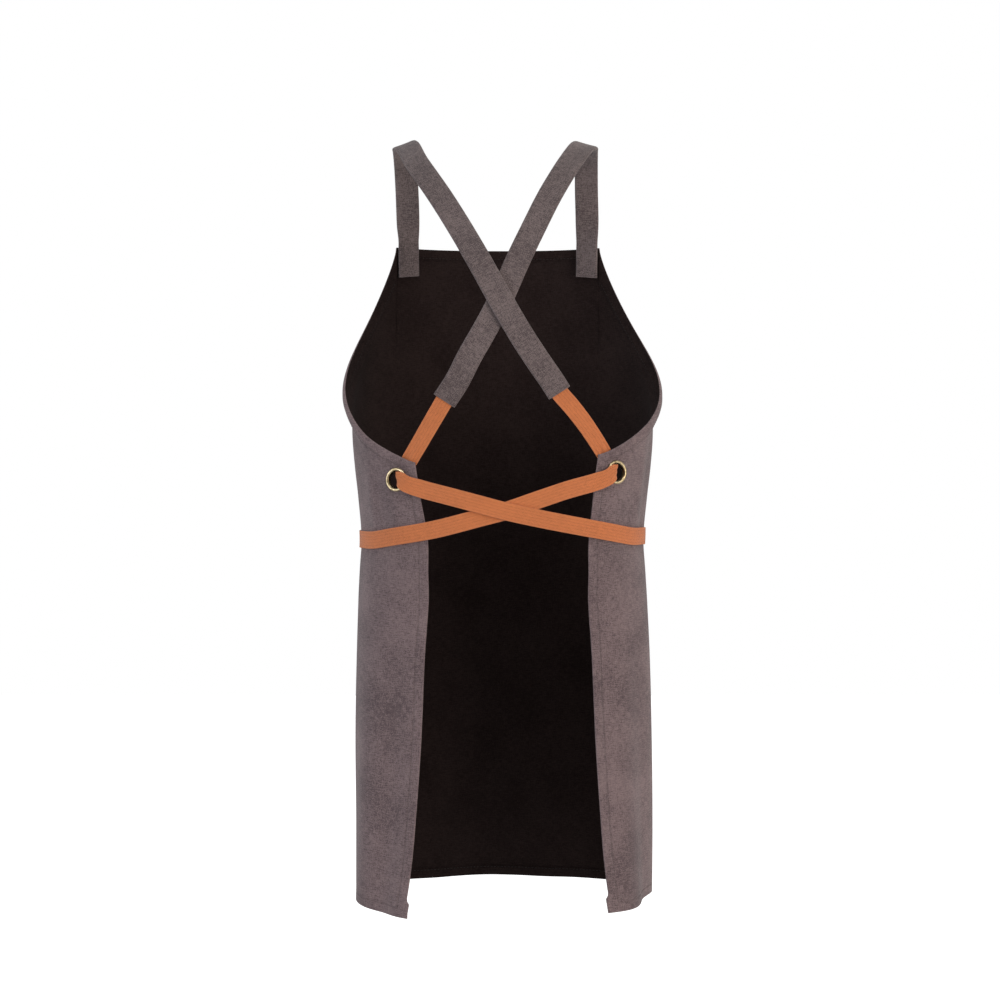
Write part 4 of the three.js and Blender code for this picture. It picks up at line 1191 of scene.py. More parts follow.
@dataclass
class ShoulderStrap:
    """A canvas strap from behind the bib over the shoulder to the end that holds the webbing."""

    panel: Panel
    side: Side
    end_drop: float
    slope: float
    width: float = 28.0
    thickness: float = 4.2
    on_bib: float = 34.0
    socket: float = 24.0
    webbing_width: float = 20.0
    webbing_thickness: float = 1.5
    seat_gap: float = 0.3
    facet_room: float = 0.6
    pitch: float = 2.5
    hem_seam: float = 3.5
    cup_reach: float = 5.0
    slope_fade: float = 0.05
    waviness: float = 0.22
    waves: tuple[float, float, float] = (9.0, 23.0, 1.3)
    seam_groove: tuple[float, float] = (0.35, 1.2)
    end_fold: tuple[float, float] = (0.25, 1.0)
    lip_width: float = 4.0
    lip_thickness: float = 1.2
    lip_length: float = 0.25

    def __post_init__(self) -> None:
        """Lays the strap's stations."""
        self.strip = Strip.lay(self._knots(), self.width, self.thickness, self.pitch)

    @property
    def bib_along(self) -> float:
        """The place of the strap's middle on the flat bib."""
        edge = self.panel.bib_half_width - 2 * self.seat_gap
        return self.side.value * (edge - self.width / 2)

    @property
    def seams(self) -> tuple[float, float]:
        """Distances of the two rows of stitches from the strap's lower end."""
        return self.hem_seam, self.socket - 2

    def _row_point(self, row: StrapRow, depth: float, outward: Array) -> Knot:
        """A knot on a row of the strap tables, half a strap above it.

        Args:
            row: The row.
            depth: The form's depth on that side, negative behind.
            outward: Where the strap's face looks.

        Returns:
            The knot.
        """
        form = self.panel.form
        across = getattr(row, self.side.label) * form.half_width
        point = np.array([across, row.reach * depth, -row.drop * form.shoulder_to_hem])
        return Knot(point + outward * self.thickness / 2, outward)

    def _facing(self, forward: float, upward: float, share: float) -> Array:
        """The strap's outward direction, tilted with the shoulder's slope near the top.

        Args:
            forward: Its forward part.
            upward: Its upward part.
            share: The drop as a share of the whole drop.

        Returns:
            The direction, of length 1.
        """
        outward = unit(np.array([0.0, forward, upward]))
        fade = math.exp(-share / self.slope_fade)
        outward[0] = self.side.value * math.tan(math.radians(self.slope)) * fade
        return unit(outward)

    def _knots(self) -> list[Knot]:
        """The knots of the strap, from behind the bib over the shoulder to its lower end.

        Returns:
            The knots, in order.
        """
        form, panel = self.panel.form, self.panel
        along = self.bib_along - panel.shift
        depth = -(panel.hem_depth + self.seat_gap + self.facet_room + self.thickness / 2)
        knots = []
        for below in (self.on_bib, self.on_bib / 2, 0.0, -self.on_bib / 4):
            drop = panel.bib_drop + below
            left, right = (form.outward(along + side.value * self.cup_reach, drop) for side in Side)
            cup = math.acos(min(float(np.dot(left, right)), 1.0)) / (2 * self.cup_reach)
            knots.append(Knot(form.wrap(along, drop, depth), form.outward(along, drop), cup=cup))
        for row in reversed(STRAPS_AHEAD):
            lean = float(smooth_step(0, 0.6, row.reach))
            knots.append(self._row_point(row, form.front_depth, self._facing(lean, 1 - lean, row.drop)))
        for index, row in enumerate(STRAPS_BEHIND):
            after = STRAPS_BEHIND[min(index + 1, len(STRAPS_BEHIND) - 1)]
            before = STRAPS_BEHIND[index - 1] if index else STRAPS_AHEAD[0]
            rise = (after.drop - before.drop) * form.shoulder_to_hem
            start = before.reach * form.back_depth if index else -before.reach * form.front_depth
            run = after.reach * form.back_depth - start
            knots.append(self._row_point(row, -form.back_depth, self._facing(-rise, run, row.drop)))
        if self.side is Side.LEFT:
            self._rise_over(knots)
        lowest = self.end_drop - self.width / 3
        kept = [knot for knot in knots if knot.point[1] >= 0 or -knot.point[2] <= lowest]
        kept.append(Knot(self._end_point(), BACKWARD.copy()))
        return orient(kept)

    def _rise_over(self, knots: list[Knot]) -> None:
        """Lifts the upper strap over the lower one where they cross.

        Args:
            knots: The upper strap's knots, moved in place.
        """
        form = self.panel.form
        crossed = next(row for row in STRAPS_BEHIND if row.left > row.right)
        crossing = crossed.drop * form.shoulder_to_hem
        over = self.thickness + 2 * self.seat_gap
        for knot in knots:
            away = abs(-knot.point[2] - crossing) / (2 * self.width)
            if knot.point[1] < 0:
                knot.point[1] -= over * (1 - float(smooth_step(0.6, 2, away)))

    def _end_point(self) -> Array:
        """The middle of the strap's lower end.

        Returns:
            The point.
        """
        form = self.panel.form
        share = self.end_drop / form.shoulder_to_hem
        across = float(read_rows(STRAPS_BEHIND, "drop", self.side.label, share)) * form.half_width
        reach = float(read_rows(STRAPS_BEHIND, "drop", "reach", share)) * form.back_depth
        return np.array([across, -reach - self.thickness / 2, -self.end_drop])

    def outline(self) -> Array:
        """The tube's outline: two soft faces with rounded edges.

        Returns:
            Shares of the width and of the thickness, one row for each point.
        """
        across = np.array([0.5, 0.495, 0.478, 0.45, 0.4, 0.3, 0.18, 0.06])
        height = np.array([0.0, 0.2, 0.36, 0.45, 0.5, 0.5, 0.47, 0.455])
        upper = np.stack([across, height], axis=1)
        mirrored = upper[::-1] * [-1, 1]
        lower = upper[::-1] * [1, -1]
        return np.concatenate([upper, mirrored, mirrored[::-1][1:] * [1, -1], lower[:-1]])

    def make(self, finishes: Sequence[bpy.types.Material]) -> bpy.types.Object:
        """Makes the strap with its open lower end.

        Args:
            finishes: The canvas of the strap.

        Returns:
            The strap's object.
        """
        outline, strip = self.outline(), self.strip
        run, left = strip.run, strip.left
        short, long, shift = self.waves
        wave = np.sin(run / short + shift * self.side.value) * np.sin(run / long)
        skin = np.sign(outline[None, :, 1])
        relief = self.waviness * wave[:, None] * skin * np.cos(outline[None, :, 0] * math.pi)
        grooves = [(inset, *self.seam_groove) for inset in self.seams]
        for inset, depth, width in (*grooves, (0.0, *self.end_fold)):
            relief = relief - depth * skin * bell(left - inset, width)[:, None]
        draft = Draft(f"canvas_strap_{self.side.label}")
        numbers = draft.add_points(strip.surface(outline, relief))
        flat = strip.flat(np.vstack([outline, outline[:1]]))
        edge = np.stack([np.broadcast_to(left[:, None], flat.shape[:2]), flat[..., 0]], axis=-1)
        draft.add_quads(close_columns(numbers), flat, edge)
        draft.add_fan(numbers[0], flat[0, :-1])
        self._line_socket(draft, numbers[-1], outline, flat[-1])
        return draft.make(finishes, [f"shoulder_strap_{self.side.label}"], "strap_canvas")

    def _line_socket(self, draft: Draft, mouth: Array, outline: Array, mouth_flat: Array) -> None:
        """Turns the lower end in and back along the webbing, to the socket's closed bottom.

        Args:
            draft: The mesh that takes the faces.
            mouth: Point numbers of the strap's last ring.
            outline: Shares of the width and of the thickness, one row for each point.
            mouth_flat: Flat coordinates of that ring.
        """
        room = self.strip.slice(int(np.searchsorted(-self.strip.left, -self.socket)))
        room.width = np.full(len(room.width), self.webbing_width + 2 * self.seat_gap)
        room.thickness = np.full(len(room.width), self.webbing_thickness + 2 * self.seat_gap)
        inner = room.surface(outline)[::-1]
        lip = room.slice(-1)
        lip.width = lip.width + self.lip_width
        lip.thickness = lip.thickness + self.lip_thickness
        lip_points = lip.surface(outline) + self.lip_length * lip.along[:, None, :]
        rows = np.concatenate([lip_points, inner])
        numbers = np.concatenate([mouth[None, :], draft.add_points(rows)])
        steps = np.arange(len(numbers))[:, None] * self.pitch
        flat = np.stack(np.broadcast_arrays(mouth_flat[None, :, 0], steps), axis=-1)
        draft.add_quads(close_columns(numbers), flat)
        draft.add_fan(numbers[-1], flat[-1, :-1], flip=True)


@dataclass
class WebbingTie:
    """A webbing from a strap's end, behind a wing, out through an eyelet and round the waist."""

    panel: Panel
    eyelet: Eyelet
    carrier: ShoulderStrap
    width: float = 20.0
    thickness: float = 1.5
    bunched_width: float = 16.0
    through_share: float = 0.13
    arrival_share: float = 0.8
    slack_share: float = 0.13
    edge_share: float = 0.38
    right_bow: float = 2.6
    gathered_width: float = 9.0
    gathered_thickness: float = 3.0
    tail: float = 170.0
    tail_drift: float = 5.0
    knot_length: float = 24.0
    knot_wall: float = 1.5
    seat_gap: float = 0.3
    facet_room: float = 0.6
    gather_from: float = 2.35
    gather_middle: float = 1.25
    waist_pitch: float = 30.0
    tail_shares: tuple[float, ...] = (0, 0.08, 0.2, 0.4, 0.6, 0.8, 1)
    pleat_depth: float = 0.9
    pleat_reach: float = 26.0
    pleat_shift: float = 0.13
    drift: float = 0.35
    drift_waves: tuple[float, float] = (17.0, 41.0)
    hem_fold: float = 0.9
    tail_hem: float = 9.0
    pitch: float = 1.8

    def __post_init__(self) -> None:
        """Lays the webbing's stations."""
        self.strip = Strip.lay(self._knots(), self.width, self.thickness, self.pitch)

    @property
    def side(self) -> Side:
        """The side of the eyelet that the webbing goes through."""
        return self.eyelet.side

    @property
    def tie_lift(self) -> float:
        """Height of the tie's middle over the middle of the cloth."""
        return self.panel.face + self.seat_gap + self.facet_room + self.thickness / 2

    @property
    def layer_lift(self) -> float:
        """Height of the gathered tie in the knot.

        Returns:
            The height over the middle of the cloth.
        """
        under = self.panel.face + 2 * self.seat_gap + self.facet_room + self.knot_wall
        low = under + self.gathered_thickness / 2
        return low + (self.gathered_thickness + 2 * self.seat_gap if self.side is Side.LEFT else 0.0)

    def _socket_knots(self) -> list[Knot]:
        """The knots in the strap's socket, clear of its bottom.

        Returns:
            The knots, in order.
        """
        strip = self.carrier.strip
        start = int(np.searchsorted(-strip.left, -self.carrier.socket + self.thickness))
        places = [*range(start, len(strip.point), 3), -1]
        return [Knot(strip.point[i].copy(), across=strip.across[i].copy()) for i in places]

    def _eyelet_knots(self, arrival: Array, departure: Array) -> list[Knot]:
        """The knots past the rolled lip, through the hole on the wing edge's side, and out.

        Args:
            arrival: Direction from the eyelet to where the webbing comes from.
            departure: Direction from the eyelet to where the tie goes.

        Returns:
            The knots, in order.
        """
        eyelet = self.eyelet
        rim, slack = eyelet.diameter / 2, self.slack_share * self.thickness
        through = self.through_share * eyelet.hole
        bend = (through + rim) / 2
        room = self.seat_gap + self.thickness / 2 + self.facet_room
        inside = eyelet.lip + eyelet.wall + room
        outside = eyelet.seat + eyelet.height + room
        lean = unit(departure + self.arrival_share * arrival)
        ways = (arrival, lean, departure)
        across_in, across_hole, across_out = (-unit(np.cross(way, eyelet.axis)) for way in ways)

        def knot(direction: Array, reach: float, height: float, across: Array, bunch: float) -> Knot:
            """A knot beside the hole's middle.

            Args:
                direction: The way to it from the hole's axis.
                reach: Its distance from the axis.
                height: Its height over the middle of the cloth.
                across: The webbing's across direction there.
                bunch: How far the webbing is bunched, from 0 to 1.

            Returns:
                The knot.
            """
            point = eyelet.centre + reach * direction + height * eyelet.axis
            width = self.width - (self.width - self.bunched_width) * bunch
            return Knot(point, across=across.copy(), width=width)

        turned_in, turned_out = unit(across_in + across_hole), unit(across_hole + across_out)
        return [
            knot(arrival, rim + 2 * self.thickness, -inside + slack, across_in, 0.1),
            knot(unit(arrival + lean), bend + slack, -inside - self.seat_gap, turned_in, 0.55),
            knot(lean, through + slack, -inside + slack, across_hole, 0.97),
            knot(lean, through, -eyelet.lip, across_hole, 1),
            knot(lean, through, eyelet.seat + 2 * slack, across_hole, 1),
            knot(lean, through + 2.5 * slack, outside - 2 * slack, across_hole, 0.95),
            knot(unit(lean + departure), bend, outside + 3 * slack, turned_out, 0.6),
            knot(departure, rim + self.thickness, outside + slack, across_out, 0.3),
        ]

    def _knots(self) -> list[Knot]:
        """The knots of the whole webbing.

        Returns:
            The knots, in order.
        """
        form, panel, eyelet = self.panel.form, self.panel, self.eyelet
        knots = self._socket_knots()
        tip = knots[-1].point
        edge_along = self.side.value * (form.cloth_half_girth - self.edge_share * eyelet.from_edge)
        inner_lift = -(panel.hem_depth + self.seat_gap + self.facet_room + self.thickness / 2)
        edge = panel.lay(edge_along, panel.wing_drop, inner_lift)
        edge_out = form.outward(edge_along - panel.shift, panel.wing_drop)
        for share in (0.25, 0.5, 0.75):
            across = across_of(tip, edge, unit(mix(BACKWARD, edge_out, share)))
            bow = self.right_bow * math.sin(math.pi * share) if self.side is Side.RIGHT else 0.0
            knots.append(Knot(mix(tip, edge, share) - bow * across, across=across))
        knots.append(Knot(edge, across=across_of(tip, edge, edge_out)))
        self.drop_length = float(np.linalg.norm(edge - tip)) + self.carrier.socket
        tie = self._back_knots()
        knots += self._eyelet_knots(eyelet.way_to(edge), eyelet.way_to(tie[0].point))
        waist = self._waist_knots()
        orient([*tie, waist[0]])
        return knots + tie + waist

    def _row_place(self, row: TieRow) -> tuple[float, float]:
        """Length round and drop of a row of the tie tables.

        Args:
            row: The row.

        Returns:
            The length round and the drop.
        """
        form = self.panel.form
        drop = row.drop * form.shoulder_to_hem
        return form.round_at_back(-self.side.value * row.across * form.half_width, drop), drop

    def _laid(self, round_: float, drop: float, lift: float, *sizes: float) -> Knot:
        """A knot where the tie lies on the worn form, with its own width and thickness if given.

        Args:
            round_: Length along the level section from the centre front.
            drop: Distance below the shoulders.
            lift: Height over the middle of the cloth.
            *sizes: Width and thickness, where they aren't the tie's own.

        Returns:
            The knot.
        """
        form = self.panel.form
        width, thickness = sizes or (None, None)
        point, inward = form.wrap(round_, drop, lift), -form.outward(round_, drop)
        return Knot(point, inward, width=width, thickness=thickness)

    def _around(self, distance: float, drop: float, lift: float, *sizes: float) -> Knot:
        """A knot at a distance from the centre front, on the side where the tie comes round."""
        return self._laid(-self.side.value * distance, drop, lift, *sizes)

    def _back_knots(self) -> list[Knot]:
        """The knots across the back; the left webbing rises over the right one.

        Returns:
            The knots, in order.
        """
        form = self.panel.form
        knots = []
        layer = self.thickness + 2 * self.seat_gap if self.side is Side.LEFT else 0.0
        for row in TIE_ROWS[self.side]:
            round_, drop = self._row_place(row)
            near = abs(row.across) * form.half_width / self.width
            lift = self.tie_lift + layer * (1 - float(smooth_step(2, 6, near)))
            knots.append(self._laid(round_, drop, lift))
        return knots

    def _waist_knots(self) -> list[Knot]:
        """The knots round the far side to the front, through the knot and down the tail.

        Returns:
            The knots, in order.
        """
        form, upper, layer = self.panel.form, self.side is Side.LEFT, self.layer_lift
        waist = form.waist_drop
        last_round, last_drop = self._row_place(TIE_ROWS[self.side][-1])
        start = last_round if upper else 2 * float(form.half_length(last_drop)) - last_round
        knot_side = self.knot_length / 2 + 3 * self.seat_gap
        knots = []
        gather_start = knot_side + self.gather_from * self.width
        gather_middle = knot_side + self.gather_middle * self.width
        steps = math.ceil((start - gather_start) / self.waist_pitch)
        for step in range(1, steps + 1):
            share = step / steps
            drop = mix(last_drop, waist, float(smooth_step(0, 1, share)))
            rise = (layer - self.tie_lift) * float(smooth_step(0.9, 1, share)) * 0.5 if upper else 0.0
            knots.append(self._around(mix(start, gather_start, share), drop, self.tie_lift + rise))
        tight, deep = self.gathered_width, self.gathered_thickness
        near_lift = mix(self.tie_lift, layer, 0.9 if upper else 0.6)
        half_way = ((self.width + 2 * tight) / 3, deep * 0.75)
        knots.append(self._around(gather_middle, waist, near_lift, *half_way))
        exit_side = knot_side + tight / 4
        for distance in (knot_side + tight / 2, 0, -exit_side):
            knots.append(self._around(distance, waist, layer, tight, deep))
        orient([self._laid(last_round, last_drop, self.tie_lift), *knots])
        return knots + self._tail_knots(knots[-1], exit_side)

    def _tail_knots(self, last: Knot, exit_side: float) -> list[Knot]:
        """The knots of the tail that hangs from the knot.

        Args:
            last: The last knot inside the wrap.
            exit_side: Its distance from the centre front.

        Returns:
            The knots, in order.
        """
        form, waist = self.panel.form, self.panel.form.waist_drop
        upper, layer = self.side is Side.LEFT, self.layer_lift
        tight, deep = self.gathered_width, self.gathered_thickness
        place = -exit_side - 1.2 * tight
        top = waist + 1.3 * tight
        down = across_of(form.wrap(0, waist), form.wrap(0, waist + 10), -form.outward(0, waist))
        turn = self._around(place + tight / 4, waist + 0.38 * tight, layer, tight, deep)
        turn.across = unit(last.across + down)
        knots = [turn]
        rest = self.tie_lift + (deep if upper else self.thickness)
        for share in self.tail_shares:
            drop = top + share * (self.tail - top + waist)
            lift = mix(layer, rest, float(smooth_step(0, 0.3, share)))
            spread = float(smooth_step(0, 0.2, share))
            width, depth = mix(tight, self.width, spread), mix(deep, self.thickness, spread)
            knot = self._around(place - self.tail_drift * share, drop, lift, width, depth)
            knot.across = down.copy()
            knots.append(knot)
        return knots

    @staticmethod
    def outline() -> Array:
        """The webbing's outline: two flat faces with slightly fuller selvedges.

        Returns:
            Shares of the width and of the thickness, one row for each point.
        """
        across = np.array([0.5, 0.494, 0.478, 0.45, 0.41, 0.34, 0.26, 0.17, 0.085])
        height = np.array([0.0, 0.34, 0.5, 0.53, 0.46, 0.47, 0.47, 0.47, 0.47])
        upper = np.stack([across, height], axis=1)
        top = np.concatenate([upper, [[0.0, 0.47]], upper[::-1] * [-1, 1]])
        return np.concatenate([top, top[-2:0:-1] * [1, -1]])

    def make(self, finish: bpy.types.Material) -> bpy.types.Object:
        """Makes the webbing with its pleats over the wing and the turned end of its tail.

        Args:
            finish: The webbing's finish.

        Returns:
            The webbing's object.
        """
        strip, outline = self.strip, self.outline()
        run, left, across = strip.run, strip.left, outline[:, 0]
        folded = 1 - smooth_step(self.tail_hem - 1, self.tail_hem, left)
        strip.thickness = strip.thickness * (1 + self.hem_fold * folded)
        strength = bell(run - self.drop_length - 4, self.pleat_reach)
        pleats = 2.5 if self.side is Side.RIGHT else 1.5
        wave = np.cos(2 * math.pi * pleats * (across + self.pleat_shift)) * (1 - (2 * np.abs(across)) ** 4)
        relief = self.pleat_depth * strength[:, None] * wave[None, :]
        short, long = self.drift_waves
        drift = self.drift * np.sin(run / short) * np.sin(run / long + self.side.value)
        toward_edges = (2 * np.abs(across[None, :])) ** 2
        relief = relief + drift[:, None] * toward_edges * smooth_step(0, 2 * self.width, left)[:, None]
        draft = Draft(f"webbing_tie_{self.side.label}")
        numbers = draft.add_points(strip.surface(outline, relief))
        flat = strip.flat(np.vstack([outline, outline[:1]]))
        shares = np.append(outline[:, 0], outline[0, 0]) * self.width
        flat[..., 0] = shares[None, :]
        draft.add_quads(close_columns(numbers), flat)
        draft.add_fan(numbers[0], flat[0, :-1])
        draft.add_fan(numbers[-1], flat[-1, :-1], flip=True)
        return draft.make([finish], [f"webbing_{self.side.label}"], "webbing")


@dataclass
class WaistKnot:
    """The knot at the front: a band of webbing wrapped round both gathered ties."""

    panel: Panel
    tie: WebbingTie
    across_steps: int = 20
    round_steps: int = 56
    swell: float = 1.0
    gathers: int = 7
    gather_depth: float = 0.25
    inner_power: float = 0.45
    outer_power: float = 0.55

    def make(self, finish: bpy.types.Material) -> bpy.types.Object:
        """Makes the band with soft lengthwise gathers.

        Args:
            finish: The webbing's finish.

        Returns:
            The knot's object.
        """
        form, tie = self.panel.form, self.tie
        waist = form.waist_drop
        outward = form.outward(0, waist)
        sideways = unit(-np.cross(UP, outward))
        upward = unit(-np.cross(sideways, outward))
        inner_height = tie.gathered_width + 4 * tie.seat_gap
        inner_depth = 2 * tie.gathered_thickness + 4 * tie.seat_gap
        base = self.panel.face + tie.seat_gap + tie.facet_room
        centre = form.wrap(0, waist, base + inner_depth / 2 + tie.knot_wall)
        angle = np.linspace(0, 2 * math.pi, self.round_steps, endpoint=False)

        def loop(depth: float, height: float, power: float) -> Array:
            """A rounded loop round the ties.

            Args:
                depth: Its whole depth.
                height: Its whole height.
                power: How square it is, 0 for square and 1 for round.

            Returns:
                Depth and height of each point.
            """
            cosine, sine = np.cos(angle), np.sin(angle)
            reach = depth / 2 * np.sign(cosine) * np.abs(cosine) ** power
            rise = height / 2 * np.sign(sine) * np.abs(sine) ** power
            return np.stack([reach, rise], axis=-1)

        walls = 2 * tie.knot_wall
        inner = loop(inner_depth, inner_height, self.inner_power)
        outer = loop(inner_depth + walls, inner_height + walls, self.outer_power)
        shares = np.linspace(-0.5, 0.5, self.across_steps + 1)
        rows = []
        for skin, share in [(outer, s) for s in shares] + [(inner, s) for s in shares[::-1]]:
            puff = 1.0
            if skin is outer:
                gather = self.gather_depth * math.cos(share * self.gathers * math.pi)
                puff = 1 + (self.swell * (math.cos(share * math.pi) ** 0.5 - 0.8) + gather) / 12
            ring = skin * puff
            place = centre + share * tie.knot_length * sideways
            rows.append(place + ring[:, :1] * outward + ring[:, 1:] * upward)
        draft = Draft("webbing_knot")
        numbers = draft.add_points(np.array(rows))
        numbers = close_columns(np.concatenate([numbers, numbers[:1]]))
        offsets = np.concatenate([shares, shares[::-1], shares[:1]]) * tie.knot_length * 0.8
        lengths = np.append(angle, 2 * math.pi) * inner_height * 0.6
        flat = np.stack(np.broadcast_arrays(offsets[:, None], lengths[None, :]), axis=-1)
        draft.add_quads(numbers, flat, flip=True)
        return draft.make([finish], ["waist_knot"], "webbing")


@dataclass
class Stitching:
    """Rows of thread stitches that dip into the cloth at both ends."""

    pitch: float = 4.3
    length: float = 3.1
    radius: float = 0.3
    sides: int = 6
    profile: tuple[tuple[float, float, float], ...] = (
        (0.0, -0.75, 0.45),
        (0.14, 0.25, 0.95),
        (0.5, 0.55, 1.0),
        (0.86, 0.25, 0.95),
        (1.0, -0.75, 0.45),
    )
    sunk: float = 0.45

    def row(self, draft: Draft, points: Array, normals: Array) -> int:
        """Sews one row of stitches.

        Args:
            draft: The mesh that takes the stitches.
            points: The line of the row, on the cloth's surface.
            normals: The surface's directions at the points.

        Returns:
            How many stitches were sewn.
        """
        run = run_of(points)
        count = int((run[-1] - self.length) // self.pitch) + 1
        starts = np.arange(count) * self.pitch + (run[-1] - (count - 1) * self.pitch - self.length) / 2
        shares, lifts, radii = np.array(self.profile).T
        places = starts[:, None] + shares[None, :] * self.length

        def read(values: Array) -> Array:
            """The row's values at each place on the stitches."""
            flat = [np.interp(places.ravel(), run, values[:, axis]) for axis in range(3)]
            return np.stack(flat, axis=-1).reshape(*places.shape, 3)

        middle, normal = read(points), unit(read(normals))
        along = unit(np.gradient(middle, axis=1))
        across = np.cross(along, normal)
        lift, thick = lifts * self.radius, radii * self.radius
        angle = np.linspace(0, 2 * math.pi, self.sides, endpoint=False)[:, None]
        centre = (middle + normal * lift[None, :, None])[:, :, None, :]
        around = np.cos(angle) * across[:, :, None, :] + np.sin(angle) * normal[:, :, None, :]
        numbers = draft.add_points(centre + around * thick[None, :, None, None])
        closed = np.concatenate([numbers, numbers[:, :, :1]], axis=2)
        twist = np.arange(self.sides + 1)[None, None, :] * self.radius
        flats = np.stack(np.broadcast_arrays(twist, places[:, :, None]), axis=-1)

        def corners(grid: Array) -> Array:
            """The corners of each quad.

            Args:
                grid: Values on the stitches' grid.

            Returns:
                The values at the four corners of each quad.
            """
            near, far = grid[:, :-1], grid[:, 1:]
            return np.stack([near[:, :, :-1], near[:, :, 1:], far[:, :, 1:], far[:, :, :-1]], axis=3)

        draft.add_faces(corners(closed).reshape(-1, 4), corners(flats).reshape(-1, 4, 2))
        for end, turn in ((0, 1), (-1, -1)):
            for half in ([0, 1, 2, 3], [0, 3, 4, 5]):
                caps = numbers[:, end][:, half[::turn]]
                draft.add_faces(caps, np.zeros((*caps.shape, 2)))
        return count

    def sew_panel(
        self, panel: Panel, outside: bpy.types.Material, inside: bpy.types.Material
    ) -> list[bpy.types.Object]:
        """Sews the hem all round the panel, on both faces.

        Args:
            panel: The panel.
            outside: The thread on the outer face.
            inside: The thread on the inner face, near black with painted shade.

        Returns:
            The stitches of each face.
        """
        half, hem, inset = panel.form.cloth_half_girth, panel.form.shoulder_to_hem, panel.stitch_inset
        bottom = np.arange(-half + inset, half - inset + 1, 2.0)
        lines = [(bottom, np.full(len(bottom), hem - inset))]
        for side in Side:
            drops = np.arange(panel.wing_drop + inset, hem - inset, 2.0)
            lines.append((np.full(len(drops), side.value * (half - inset)), drops))
            curve = side.value * np.linspace(panel.bib_half_width + 3, half - inset, 240)
            lines.append((curve, panel.top_drop(curve) + inset * panel.stretch(curve)))
        bib = np.arange(-panel.bib_half_width + 4, panel.bib_half_width - 3, 2.0)
        lines.append((bib, np.full(len(bib), panel.bib_drop + inset)))
        outer, inner = Draft("hem_stitches"), Draft("hem_stitches_inside")
        total = 0
        for along, drop in lines:
            normals = panel.normal(along, drop)
            total += self.row(outer, panel.lay(along, drop, panel.face - panel.groove_depth), normals)
            total += self.row(inner, panel.lay(along, drop, -panel.hem_depth), -normals)
        LOG.info("hem: %d stitches", total)
        return [outer.make([outside], [], "panel_canvas"), inner.make([inside], [], "panel_canvas")]

    def sew_straps(
        self, panel: Panel, straps: Sequence[ShoulderStrap], finish: bpy.types.Material
    ) -> bpy.types.Object:
        """Sews the straps' lower ends over the webbing, and their upper ends to the bib.

        Args:
            panel: The panel.
            straps: Both shoulder straps.
            finish: The thread.

        Returns:
            The stitches' object.
        """
        draft = Draft("strap_stitches")
        for strap in straps:
            strip = strap.strip
            for inset in strap.seams:
                place = int(np.argmin(np.abs(strip.left - inset)))
                for face in (1, -1):
                    across = np.linspace(-0.4, 0.4, 13)[:, None] * strap.width * strip.across[place]
                    normal = face * strip.face[place]
                    points = strip.point[place] + across + normal * (strap.thickness / 2 - self.sunk)
                    self.row(draft, points, np.broadcast_to(normal, points.shape))
            half, low = strap.width / 2 - 3, panel.bib_drop + 14.5
            high = panel.bib_drop + strap.on_bib - 4
            loop = np.array([(-half, low), (half, low), (half, high), (-half, high), (-half, low)])
            shares = np.linspace(0, 1, 12)
            for start, end in zip(loop[:-1], loop[1:]):
                along = strap.bib_along + mix(start[0], end[0], shares)
                drop = mix(start[1], end[1], shares)
                self.row(draft, panel.lay(along, drop, panel.face), panel.normal(along, drop))
        return draft.make([finish], [], "strap_canvas")


